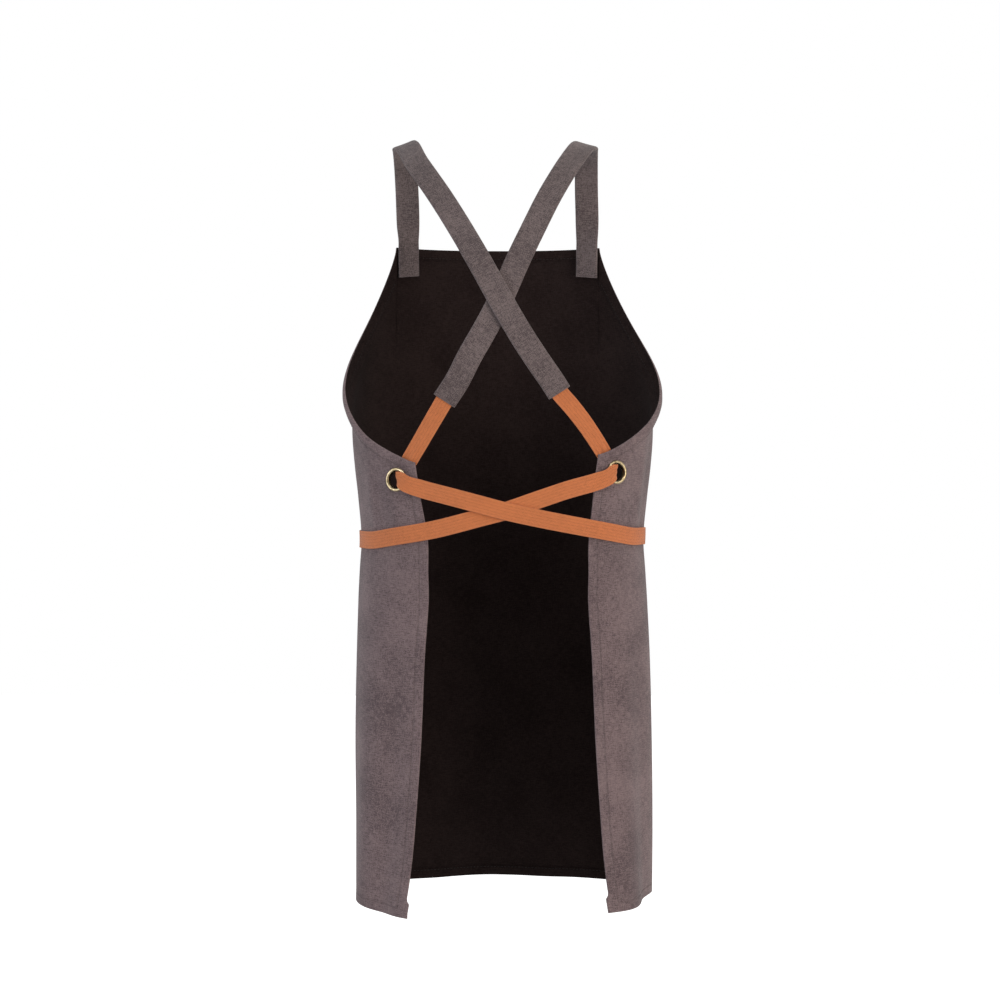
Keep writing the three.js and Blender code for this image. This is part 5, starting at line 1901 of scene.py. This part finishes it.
class Bench:
    """A node tree with short ways to place its nodes and join them."""

    def __init__(self, tree: bpy.types.NodeTree) -> None:
        """Takes over a tree and clears it."""
        self.tree = tree
        tree.nodes.clear()

    def place(self, kind: str, **settings: object) -> bpy.types.Node:
        """Places a node and sets its properties.

        Args:
            kind: The node's type.
            **settings: Its properties.

        Returns:
            The node.
        """
        node = self.tree.nodes.new(kind)
        for name, value in settings.items():
            setattr(node, name, value)
        return node

    def feed(self, socket: Socket, value: object) -> None:
        """Joins a socket to another one, or sets its own value.

        Args:
            socket: The input.
            value: A socket, a value, or None to leave the input alone.
        """
        if isinstance(value, bpy.types.NodeSocket):
            self.tree.links.new(value, socket)
        elif value is not None:
            socket.default_value = value

    def fill(self, node: bpy.types.Node, **inputs: object) -> bpy.types.Node:
        """Feeds a node's inputs by name, where _ stands for a space, and gives the node back.

        Args:
            node: The node.
            **inputs: Sockets or values.

        Returns:
            The same node.
        """
        for name, value in inputs.items():
            self.feed(node.inputs[name.replace("_", " ")], value)
        return node

    def unwrapped(self, title: str) -> Socket:
        """The flat or the edge coordinates of the mesh."""
        return self.place("ShaderNodeUVMap", uv_map=title).outputs[0]

    def in_space(self) -> Socket:
        """The place in the piece's own space."""
        return self.place("ShaderNodeTexCoord").outputs["Object"]

    def bump(
        self, height: Socket, strength: float, distance: float, normal: Socket | None = None
    ) -> Socket:
        """Tilts the normal with a height.

        Args:
            height: The height, as a share of the distance.
            strength: How much of the tilt is used.
            distance: The greatest height in metres.
            normal: A normal that is tilted already.

        Returns:
            The tilted normal.
        """
        node = self.place("ShaderNodeBump")
        self.fill(node, Height=height, Strength=strength, Distance=distance, Normal=normal)
        return node.outputs[0]

    def math(self, operation: str, *values: object) -> Socket:
        """A Math node's result.

        Args:
            operation: What the node works out.
            *values: Its inputs, in order.

        Returns:
            The result.
        """
        node = self.place("ShaderNodeMath", operation=operation)
        for socket, value in zip(node.inputs, values):
            self.feed(socket, value)
        return node.outputs[0]

    def sine(self, turns: Socket) -> Socket:
        """The sine of a number of half turns."""
        return self.math("SINE", self.math("MULTIPLY", turns, math.pi))

    def vector(self, operation: str, *values: object) -> Socket:
        """A Vector Math node's result.

        Args:
            operation: What the node works out.
            *values: Its inputs, in order.

        Returns:
            The result.
        """
        node = self.place("ShaderNodeVectorMath", operation=operation)
        if operation == "SCALE":
            self.feed(node.inputs[0], values[0])
            self.feed(node.inputs["Scale"], values[1])
        else:
            for socket, value in zip(node.inputs, values):
                self.feed(socket, value)
        return node.outputs[0]

    def split(self, vector: Socket) -> tuple[Socket, Socket, Socket]:
        """The three parts of a vector.

        Args:
            vector: The vector.

        Returns:
            Its x, y and z.
        """
        node = self.place("ShaderNodeSeparateXYZ")
        self.feed(node.inputs[0], vector)
        return node.outputs[0], node.outputs[1], node.outputs[2]

    def ease(
        self, value: Socket, low: float, high: float, start: float = 0.0, end: float = 1.0
    ) -> Socket:
        """Maps a range smoothly to another one.

        Args:
            value: The value to map.
            low: The value that gives start.
            high: The value that gives end.
            start: The result at low.
            end: The result at high.

        Returns:
            The mapped value.
        """
        node = self.place("ShaderNodeMapRange", interpolation_type="SMOOTHSTEP")
        self.fill(node, Value=value, From_Min=low, From_Max=high, To_Min=start, To_Max=end)
        return node.outputs[0]

    def blend(self, share: object, first: object, second: object) -> Socket:
        """Mixes two colours.

        Args:
            share: How much of the second colour.
            first: The first colour.
            second: The second colour.

        Returns:
            The mixed colour.
        """
        node = self.place("ShaderNodeMix", data_type="RGBA")
        self.feed(node.inputs[0], share)
        for socket, value in ((node.inputs[6], first), (node.inputs[7], second)):
            self.feed(socket, (*value, 1.0) if isinstance(value, tuple) else value)
        return node.outputs[2]

    def noise(
        self, vector: Socket, scale: object, detail: float = 2.0, roughness: float = 0.5
    ) -> bpy.types.Node:
        """A Noise Texture node.

        Args:
            vector: Where to read it.
            scale: How many cells there are to a length of 1.
            detail: How many finer layers it has.
            roughness: How strong they are.

        Returns:
            The node.
        """
        node = self.place("ShaderNodeTexNoise")
        return self.fill(node, Vector=vector, Scale=scale, Detail=detail, Roughness=roughness)

    def group(self, tree: bpy.types.NodeTree, **inputs: object) -> bpy.types.Node:
        """Places a node group with its own values."""
        return self.fill(self.place("ShaderNodeGroup", node_tree=tree), **inputs)


class ClothShop:
    """Builds each shared shader group once, when it is first asked for."""

    @staticmethod
    def _start(
        name: str, inputs: dict[str, object], outputs: Sequence[str]
    ) -> tuple[bpy.types.NodeTree, Bench, bpy.types.Node, bpy.types.Node]:
        """Makes a group that holds only its sockets.

        Args:
            name: The group's name.
            inputs: The inputs and their own values, None for a vector.
            outputs: The names of the outputs.

        Returns:
            The group, its bench and its two end nodes.
        """
        tree = bpy.data.node_groups.new(name, "ShaderNodeTree")
        bench = Bench(tree)
        for title, value in inputs.items():
            kind = "NodeSocketVector" if value is None else "NodeSocketFloat"
            socket = tree.interface.new_socket(name=title, in_out="INPUT", socket_type=kind)
            if value is not None:
                socket.default_value = value
        for title in outputs:
            tree.interface.new_socket(name=title, in_out="OUTPUT", socket_type="NodeSocketFloat")
        return tree, bench, bench.place("NodeGroupInput"), bench.place("NodeGroupOutput")

    @cached_property
    def plain_weave(self) -> bpy.types.NodeTree:
        """Canvas threads over and under: height, which thread is on top, and a heathered tone.

        Returns:
            The group.
        """
        inputs = {"Flat": None, "Thread": 0.0009, "Wander": 0.5}
        tree, bench, given, result = self._start("Plain weave", inputs, ("Height", "Warp", "Tone"))
        scale = bench.math("DIVIDE", 1.0, given.outputs["Thread"])
        scaled = bench.vector("SCALE", given.outputs["Flat"], scale)
        wander = bench.noise(scaled, 0.13, 1.0).outputs["Color"]
        wander = bench.vector("SUBTRACT", wander, (0.5, 0.5, 0.5))
        wander = bench.vector("SCALE", wander, given.outputs["Wander"])
        threads = bench.vector("ADD", scaled, wander)
        across, down, _ = bench.split(threads)
        sine_across, sine_down = bench.sine(across), bench.sine(down)
        crossing = bench.math("MULTIPLY", bench.math("MULTIPLY", sine_across, sine_down), 0.5)
        warp = bench.math("MULTIPLY_ADD", bench.math("ABSOLUTE", sine_across), 0.5, crossing)
        weft = bench.math("MULTIPLY", bench.math("ABSOLUTE", sine_down), 0.5)
        weft = bench.math("SUBTRACT", weft, crossing)
        on_top = bench.math("GREATER_THAN", warp, weft)
        upright, level = (
            bench.noise(bench.vector("MULTIPLY", threads, drawn_out), 0.9, 2.0, 0.6).outputs[0]
            for drawn_out in ((1.0, 0.16, 1.0), (0.16, 1.0, 1.0))
        )
        flecks = bench.noise(threads, 0.8, 2.0, 0.6).outputs[0]
        fleck_tone = bench.math("MULTIPLY_ADD", bench.math("SUBTRACT", upright, level), on_top, level)
        tone = bench.math("MULTIPLY_ADD", fleck_tone, 0.65, bench.math("MULTIPLY", flecks, 0.35))
        bench.fill(result, Height=bench.math("MAXIMUM", warp, weft), Warp=on_top, Tone=tone)
        return tree

    @cached_property
    def worn_tone(self) -> bpy.types.NodeTree:
        """Broad and fine clouding of a surface that has been handled and washed.

        Returns:
            The group.
        """
        inputs = {"Place": None, "Scale": 20.0, "Contrast": 1.0}
        tree, bench, given, result = self._start("Worn tone", inputs, ("Value",))
        broad = bench.noise(given.outputs["Place"], given.outputs["Scale"], 3.0, 0.55).outputs[0]
        fine_scale = bench.math("MULTIPLY", given.outputs["Scale"], 9.0)
        fine = bench.noise(given.outputs["Place"], fine_scale, 2.0, 0.6).outputs[0]
        fine, broad = bench.math("SUBTRACT", fine, 0.5), bench.math("SUBTRACT", broad, 0.5)
        both = bench.math("MULTIPLY_ADD", fine, 0.45, broad)
        bench.fill(result, Value=bench.math("MULTIPLY_ADD", both, given.outputs["Contrast"], 0.5))
        return tree

    @cached_property
    def stitch_pucker(self) -> bpy.types.NodeTree:
        """The dent along a row of stitches and the small ripples beside it.

        Returns:
            The group.
        """
        inputs = {"Edge": None, "Inset": 0.0104, "Pitch": 0.0086}
        tree, bench, given, result = self._start("Stitch pucker", inputs, ("Height", "Dent"))
        away, along, _ = bench.split(given.outputs["Edge"])
        beside = bench.math("ABSOLUTE", bench.math("SUBTRACT", away, given.outputs["Inset"]))
        dent = bench.ease(beside, 0.0, 0.0016, 1.0, 0.0)
        turns = bench.math("MULTIPLY", bench.math("DIVIDE", along, given.outputs["Pitch"]), 2 * math.pi)
        wobble = bench.noise(given.outputs["Edge"], 140.0, 1.0).outputs[0]
        ripple = bench.math("SINE", bench.math("MULTIPLY_ADD", wobble, 4.0, turns))
        near = bench.ease(beside, 0.002, 0.009, 1.0, 0.0)
        height = bench.math("MULTIPLY", bench.math("MULTIPLY", ripple, near), 0.35)
        bench.fill(result, Height=bench.math("SUBTRACT", height, dent), Dent=dent)
        return tree

    @cached_property
    def herringbone(self) -> bpy.types.NodeTree:
        """The webbing's twill: slanted ribs in narrow rows, with plain selvedges at the sides, whose mask
        also places a painted highlight.

        Returns:
            The group.
        """
        inputs = {"Flat": None, "Rib": 0.0016, "Row": 0.0034, "Width": 0.02}
        tree, bench, given, result = self._start("Herringbone", inputs, ("Height", "Selvedge", "Tone"))
        across, along, _ = bench.split(given.outputs["Flat"])
        zigzag = bench.math("PINGPONG", bench.math("ADD", across, 1.0), given.outputs["Row"])
        phase = bench.math("DIVIDE", bench.math("ADD", along, zigzag), given.outputs["Rib"])
        rib = bench.math("ABSOLUTE", bench.sine(phase))
        yarns = bench.math("DIVIDE", across, bench.math("MULTIPLY", given.outputs["Rib"], 0.6))
        yarn = bench.math("ABSOLUTE", bench.sine(yarns))
        turn = bench.math("DIVIDE", zigzag, given.outputs["Row"])
        row = bench.math("POWER", bench.sine(turn), 0.4)
        height = bench.math("MULTIPLY_ADD", yarn, 0.2, bench.math("MULTIPLY", rib, 0.62))
        height = bench.math("MULTIPLY_ADD", row, 0.18, height)
        half = bench.math("MULTIPLY", given.outputs["Width"], 0.5)
        from_side = bench.math("SUBTRACT", half, bench.math("ABSOLUTE", across))
        # mask of the plain selvedges, where the finish also paints a highlight
        selvedge = bench.ease(from_side, 0.0008, 0.0015, 1.0, 0.0)
        cell = bench.place("ShaderNodeCombineXYZ")
        rows = bench.math("DIVIDE", across, given.outputs["Row"])
        bench.fill(cell, X=bench.math("FLOOR", phase), Y=bench.math("FLOOR", rows))
        tones = bench.place("ShaderNodeTexWhiteNoise", noise_dimensions="2D")
        bench.fill(tones, Vector=cell.outputs[0])
        bench.fill(result, Height=height, Selvedge=selvedge, Tone=tones.outputs["Value"])
        return tree


def start_finish(name: str) -> tuple[bpy.types.Material, Bench, bpy.types.Node]:
    """Makes a material with an empty bench and its main shader.

    Args:
        name: The material's name.

    Returns:
        The material, its bench and the Principled BSDF.
    """
    material = bpy.data.materials.new(name)
    material.use_nodes = True
    bench = Bench(material.node_tree)
    shader = bench.place("ShaderNodeBsdfPrincipled")
    bench.fill(bench.place("ShaderNodeOutputMaterial"), Surface=shader.outputs[0])
    return material, bench, shader


@dataclass(frozen=True)
class CanvasFinish:
    """A matt woven canvas of two near tones of thread."""

    name: str
    warp: Colour
    weft: Colour
    worn: Colour
    thread: float = 0.0010
    bump: float = 0.5
    sheen: float = 0.25
    gloss: float = 0.2
    roughness: float = 0.9
    inset: float = 0.0104
    clouding: float = 0.5
    cloud_scale: float = 18.0
    worn_from: float = 0.39
    worn_to: float = 0.61
    seam_shade: float = 0.16

    def make(self, shop: ClothShop) -> bpy.types.Material:
        """Makes the material.

        Args:
            shop: The shared shader groups.

        Returns:
            The material.
        """
        material, bench, shader = start_finish(self.name)
        flat, edge, place = bench.unwrapped("Flat"), bench.unwrapped("Edge"), bench.in_space()
        weave = bench.group(shop.plain_weave, Flat=flat, Thread=self.thread)
        clouds = bench.group(
            shop.worn_tone, Place=place, Scale=self.cloud_scale, Contrast=self.clouding
        )
        pucker = bench.group(shop.stitch_pucker, Edge=edge, Inset=self.inset)
        body = bench.blend(weave.outputs["Warp"], self.weft, self.warp)
        lean = bench.math("MULTIPLY", bench.math("SUBTRACT", clouds.outputs[0], 0.5), 0.5)
        share = bench.math("ADD", weave.outputs["Tone"], lean)
        body = bench.blend(bench.ease(share, self.worn_from, self.worn_to), body, self.worn)
        away, _, _ = bench.split(edge)
        rubbed = bench.ease(away, 0.0003, 0.0016, 0.25, 0.0)
        body = bench.blend(rubbed, body, self.worn)
        # painted shade: the canvas is darkened along the stitch dent
        shade = bench.math("MULTIPLY", pucker.outputs["Dent"], self.seam_shade)
        body = bench.blend(shade, body, tuple(0.45 * part for part in self.weft))
        rough = bench.math("MULTIPLY_ADD", clouds.outputs[0], 0.12, self.roughness - 0.06)
        threads = bench.bump(weave.outputs["Height"], self.bump, 0.0003)
        seams = bench.bump(pucker.outputs["Height"], 0.5, 0.0004, threads)
        bench.fill(
            shader,
            Base_Color=body,
            Roughness=rough,
            Sheen_Weight=self.sheen,
            Sheen_Roughness=0.55,
            Specular_IOR_Level=self.gloss,
            Normal=seams,
        )
        return material


@dataclass(frozen=True)
class WebbingFinish:
    """Twill webbing, darker in the twill's valleys as painted shade, with lighter selvedges that are
    partly a painted highlight.
    """

    name: str
    rib: Colour
    shaded_valley: Colour
    selvedge: Colour
    bump: float = 0.6

    def make(self, shop: ClothShop) -> bpy.types.Material:
        """Makes the material.

        Args:
            shop: The shared shader groups.

        Returns:
            The material.
        """
        material, bench, shader = start_finish(self.name)
        twill = bench.group(shop.herringbone, Flat=bench.unwrapped("Flat"))
        clouds = bench.group(shop.worn_tone, Place=bench.in_space(), Scale=30.0, Contrast=1.0)
        tone = bench.math("MULTIPLY", twill.outputs["Height"], 0.9)
        tone = bench.math("MULTIPLY_ADD", twill.outputs["Tone"], 0.1, tone)
        cloud = bench.math("SUBTRACT", clouds.outputs[0], 0.5)
        tone = bench.math("MULTIPLY_ADD", cloud, 0.16, tone)
        # painted shade: the colour darkens with the twill's height into its valleys, with a little random
        # tone
        body = bench.blend(bench.ease(tone, 0.25, 0.75), self.shaded_valley, self.rib)
        # partly a painted highlight: the lighter selvedges also stand in for light on the webbing's edges
        body = bench.blend(bench.math("MULTIPLY", twill.outputs["Selvedge"], 0.4), body, self.selvedge)
        bench.fill(
            shader,
            Base_Color=body,
            Roughness=bench.math("MULTIPLY_ADD", clouds.outputs[0], 0.15, 0.68),
            Sheen_Weight=0.2,
            Sheen_Roughness=0.5,
            Specular_IOR_Level=0.3,
            Normal=bench.bump(twill.outputs["Height"], self.bump, 0.00035),
        )
        return material


@dataclass(frozen=True)
class BrassFinish:
    """Polished brass, a little clouded by handling."""

    name: str
    bright: Colour
    dull: Colour

    def make(self, shop: ClothShop) -> bpy.types.Material:
        """Makes the material.

        Args:
            shop: The shared shader groups.

        Returns:
            The material.
        """
        material, bench, shader = start_finish(self.name)
        place = bench.in_space()
        clouds = bench.group(shop.worn_tone, Place=place, Scale=160.0, Contrast=1.4)
        scratches = bench.noise(place, 2400.0).outputs[0]
        bench.fill(
            shader,
            Base_Color=bench.blend(bench.ease(clouds.outputs[0], 0.25, 0.75), self.bright, self.dull),
            Roughness=bench.math("MULTIPLY_ADD", clouds.outputs[0], 0.2, 0.2),
            Metallic=1.0,
            Normal=bench.bump(scratches, 0.12, 0.0002),
        )
        return material


@dataclass(frozen=True)
class ThreadFinish:
    """Twisted sewing thread."""

    name: str
    light: Colour
    dark: Colour
    twist_length: float = 0.0008

    def make(self, shop: ClothShop) -> bpy.types.Material:
        """Makes the material.

        Args:
            shop: The shared shader groups.

        Returns:
            The material.
        """
        material, bench, shader = start_finish(self.name)
        across, along, _ = bench.split(bench.unwrapped("Flat"))
        slant = bench.math("MULTIPLY_ADD", across, 1.4, along)
        turns = bench.math("MULTIPLY", slant, 2 * math.pi / self.twist_length)
        twist = bench.math("MULTIPLY_ADD", bench.math("SINE", turns), 0.5, 0.5)
        clouds = bench.group(shop.worn_tone, Place=bench.in_space(), Scale=60.0, Contrast=0.8)
        share = bench.math("MULTIPLY", twist, bench.math("ADD", clouds.outputs[0], 0.4))
        colour = bench.blend(share, self.dark, self.light)
        lay = bench.bump(twist, 0.5, 0.0001)
        bench.fill(shader, Base_Color=colour, Roughness=0.75, Normal=lay)
        return material


class Softbox(NamedTuple):
    """A soft square light: its place and side in metres, its watts and its colour."""

    name: str
    place: tuple[float, float, float]
    side: float
    watts: float
    colour: Colour


SOFTBOXES = (
    Softbox("right_softbox", (1.9, -1.7, -0.1), 1.5, 31.0, (1.0, 0.9, 0.82)),
    Softbox("left_softbox", (-2.3, -1.1, -0.1), 1.5, 20.0, (0.93, 0.94, 1.0)),
    Softbox("top_softbox", (0.1, -1.6, 1.9), 1.2, 16.0, (1.0, 0.98, 0.97)),
)


@dataclass
class Studio:
    """The pale floor, the soft lights and the camera."""

    camera_place: tuple[float, float, float] = (-0.003, -2.3, -0.416)
    aim: tuple[float, float, float] = (0.0, 0.0, -0.45)
    lens: float = 70.16
    sensor: float = 36.0
    floor_drop: float = 1.35
    floor_size: float = 14.0

    def set_camera(self) -> None:
        """Sets the level camera straight behind the apron."""
        data = bpy.data.cameras.new("view_from_behind")
        data.lens = self.lens
        data.sensor_width = self.sensor
        data.clip_end = 40.0
        camera = bpy.data.objects.new("view_from_behind", data)
        camera.location = self.camera_place
        camera.rotation_euler = (math.pi / 2, 0.0, 0.0)
        bpy.context.scene.collection.objects.link(camera)
        bpy.context.scene.camera = camera

    def set_floor(self) -> None:
        """Lays the pale floor far below the hem."""
        half = self.floor_size / 2
        mesh = bpy.data.meshes.new("floor")
        corners = [(-half, -half), (half, -half), (half, half), (-half, half)]
        mesh.from_pydata([(x, y, -self.floor_drop) for x, y in corners], [], [(0, 1, 2, 3)])
        material, bench, shader = start_finish("pale_floor")
        cloud = bench.noise(bench.in_space(), 0.8).outputs[0]
        seen = bench.place("ShaderNodeLightPath").outputs["Is Camera Ray"]
        bench.fill(
            shader,
            Base_Color=bench.blend(cloud, (0.8, 0.8, 0.8), (0.84, 0.84, 0.84)),
            Roughness=0.9,
            Emission_Color=(1.0, 1.0, 1.0, 1.0),
            Emission_Strength=bench.math("MULTIPLY", seen, 0.9),
        )
        mesh.materials.append(material)
        floor = bpy.data.objects.new("floor", mesh)
        bpy.context.scene.collection.objects.link(floor)

    def add_light(self, softbox: Softbox) -> None:
        """Adds a soft square light that looks at the apron's middle.

        Args:
            softbox: The light.
        """
        data = bpy.data.lights.new(softbox.name, "AREA")
        data.shape = "SQUARE"
        data.size = softbox.side
        data.energy = softbox.watts
        data.color = softbox.colour
        light = bpy.data.objects.new(softbox.name, data)
        toward = unit(np.array(self.aim) - np.array(softbox.place))
        light.location = softbox.place
        light.rotation_euler = (math.acos(-toward[2]), 0.0, math.atan2(toward[0], -toward[1]) + math.pi)
        bpy.context.scene.collection.objects.link(light)

    def set_lights(self) -> None:
        """Sets the warm side light, the cooler fill and the pale surroundings."""
        for softbox in SOFTBOXES:
            self.add_light(softbox)
        world = bpy.data.worlds.new("pale_room")
        world.use_nodes = True
        bench = Bench(world.node_tree)
        _, depth, _ = bench.split(bench.place("ShaderNodeTexCoord").outputs["Generated"])
        behind = bench.ease(bench.math("MULTIPLY", depth, -1.0), 0.55, 0.95)
        glow = bench.math("MULTIPLY_ADD", behind, -0.34, 0.42)
        seen = bench.place("ShaderNodeLightPath").outputs["Is Camera Ray"]
        strength = bench.math("MULTIPLY_ADD", bench.math("SUBTRACT", 1.0, glow), seen, glow)
        ground = bench.place("ShaderNodeBackground")
        bench.fill(ground, Color=(1.0, 1.0, 1.0, 1.0), Strength=strength)
        bench.fill(bench.place("ShaderNodeOutputWorld"), Surface=ground.outputs[0])
        bpy.context.scene.world = world
        bpy.context.scene.view_settings.view_transform = "Standard"


@dataclass
class CrossBackApron:
    """The whole apron: its pieces, their finishes and how they go together."""

    form: WornForm = field(default_factory=WornForm)
    shop: ClothShop = field(default_factory=ClothShop)

    def finishes(self) -> dict[str, bpy.types.Material]:
        """Makes the finish of each kind of surface.

        Returns:
            The materials by name.
        """
        recipes = {
            "outer": CanvasFinish(
                "taupe_canvas",
                warp=(0.106, 0.074, 0.08),
                weft=(0.07, 0.048, 0.053),
                worn=(0.235, 0.172, 0.176),
            ),
            # painted shade: the inner face is made near black to stand in for the shade inside the worn
            # apron
            "inner": CanvasFinish(
                "canvas_inside_painted_shade",
                warp=(0.015, 0.009, 0.0085),
                weft=(0.009, 0.005, 0.005),
                worn=(0.026, 0.017, 0.016),
                sheen=0.03,
                gloss=0.06,
            ),
            "strap": CanvasFinish(
                "strap_canvas",
                warp=(0.085, 0.064, 0.066),
                weft=(0.048, 0.036, 0.038),
                worn=(0.2, 0.158, 0.155),
                inset=0.0035,
            ),
            "webbing": WebbingFinish(
                "tan_webbing",
                rib=(0.7, 0.222, 0.076),
                # painted shade: the valley colour is the shade in the twill's hollows
                shaded_valley=(0.17, 0.042, 0.013),
                # partly a painted highlight on the webbing's edges
                selvedge=(0.6, 0.2, 0.075),
            ),
            "brass": BrassFinish("aged_brass", (0.68, 0.56, 0.35), (0.36, 0.29, 0.16)),
            "thread": ThreadFinish("hem_thread", (0.2, 0.152, 0.152), (0.12, 0.088, 0.09)),
            # painted shade: the inner thread is near black to match the shaded inner face
            "inner_thread_painted_shade": ThreadFinish("inner_thread_painted_shade", (0.016, 0.011, 0.01), (0.008, 0.005, 0.005)),
        }
        return {name: recipe.make(self.shop) for name, recipe in recipes.items()}

    def build(self) -> None:
        """Builds and dresses every piece in order."""
        looks = self.finishes()
        panel = Panel(self.form)
        eyelets = {side: Eyelet(panel, side) for side in Side}
        straps = {
            Side.LEFT: ShoulderStrap(panel, Side.LEFT, end_drop=296.0, slope=21.0),
            Side.RIGHT: ShoulderStrap(panel, Side.RIGHT, end_drop=305.0, slope=16.0),
        }
        ties = {side: WebbingTie(panel, eyelets[side], straps[side.other]) for side in Side}
        sheet = panel.make(list(eyelets.values()), [looks["outer"], looks["inner"]])
        for side in Side:
            straps[side].make([looks["strap"]])
            ties[side].make(looks["webbing"])
            eyelets[side].make(looks["brass"])
        WaistKnot(panel, ties[Side.RIGHT]).make(looks["webbing"])
        sewing = Stitching()
        hem = sewing.sew_panel(panel, looks["thread"], looks["inner_thread_painted_shade"])
        sewing.sew_straps(panel, list(straps.values()), looks["thread"])
        flat = (2 * self.form.cloth_half_girth * MM, (self.form.shoulder_to_hem - panel.bib_drop) * MM)
        panel.flat_area()
        LOG.info("panel: flat %.3f by %.3f m, %.3f square metres", *flat, panel.flat_area())


def main() -> None:
    """Loads the frame, dresses the apron and sets the studio."""
    logging.basicConfig(level=logging.INFO, format="%(message)s")
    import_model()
    studio = Studio()
    studio.set_camera()
    CrossBackApron().build()
    studio.set_floor()
    studio.set_lights()


if __name__ == "__main__":
    main()
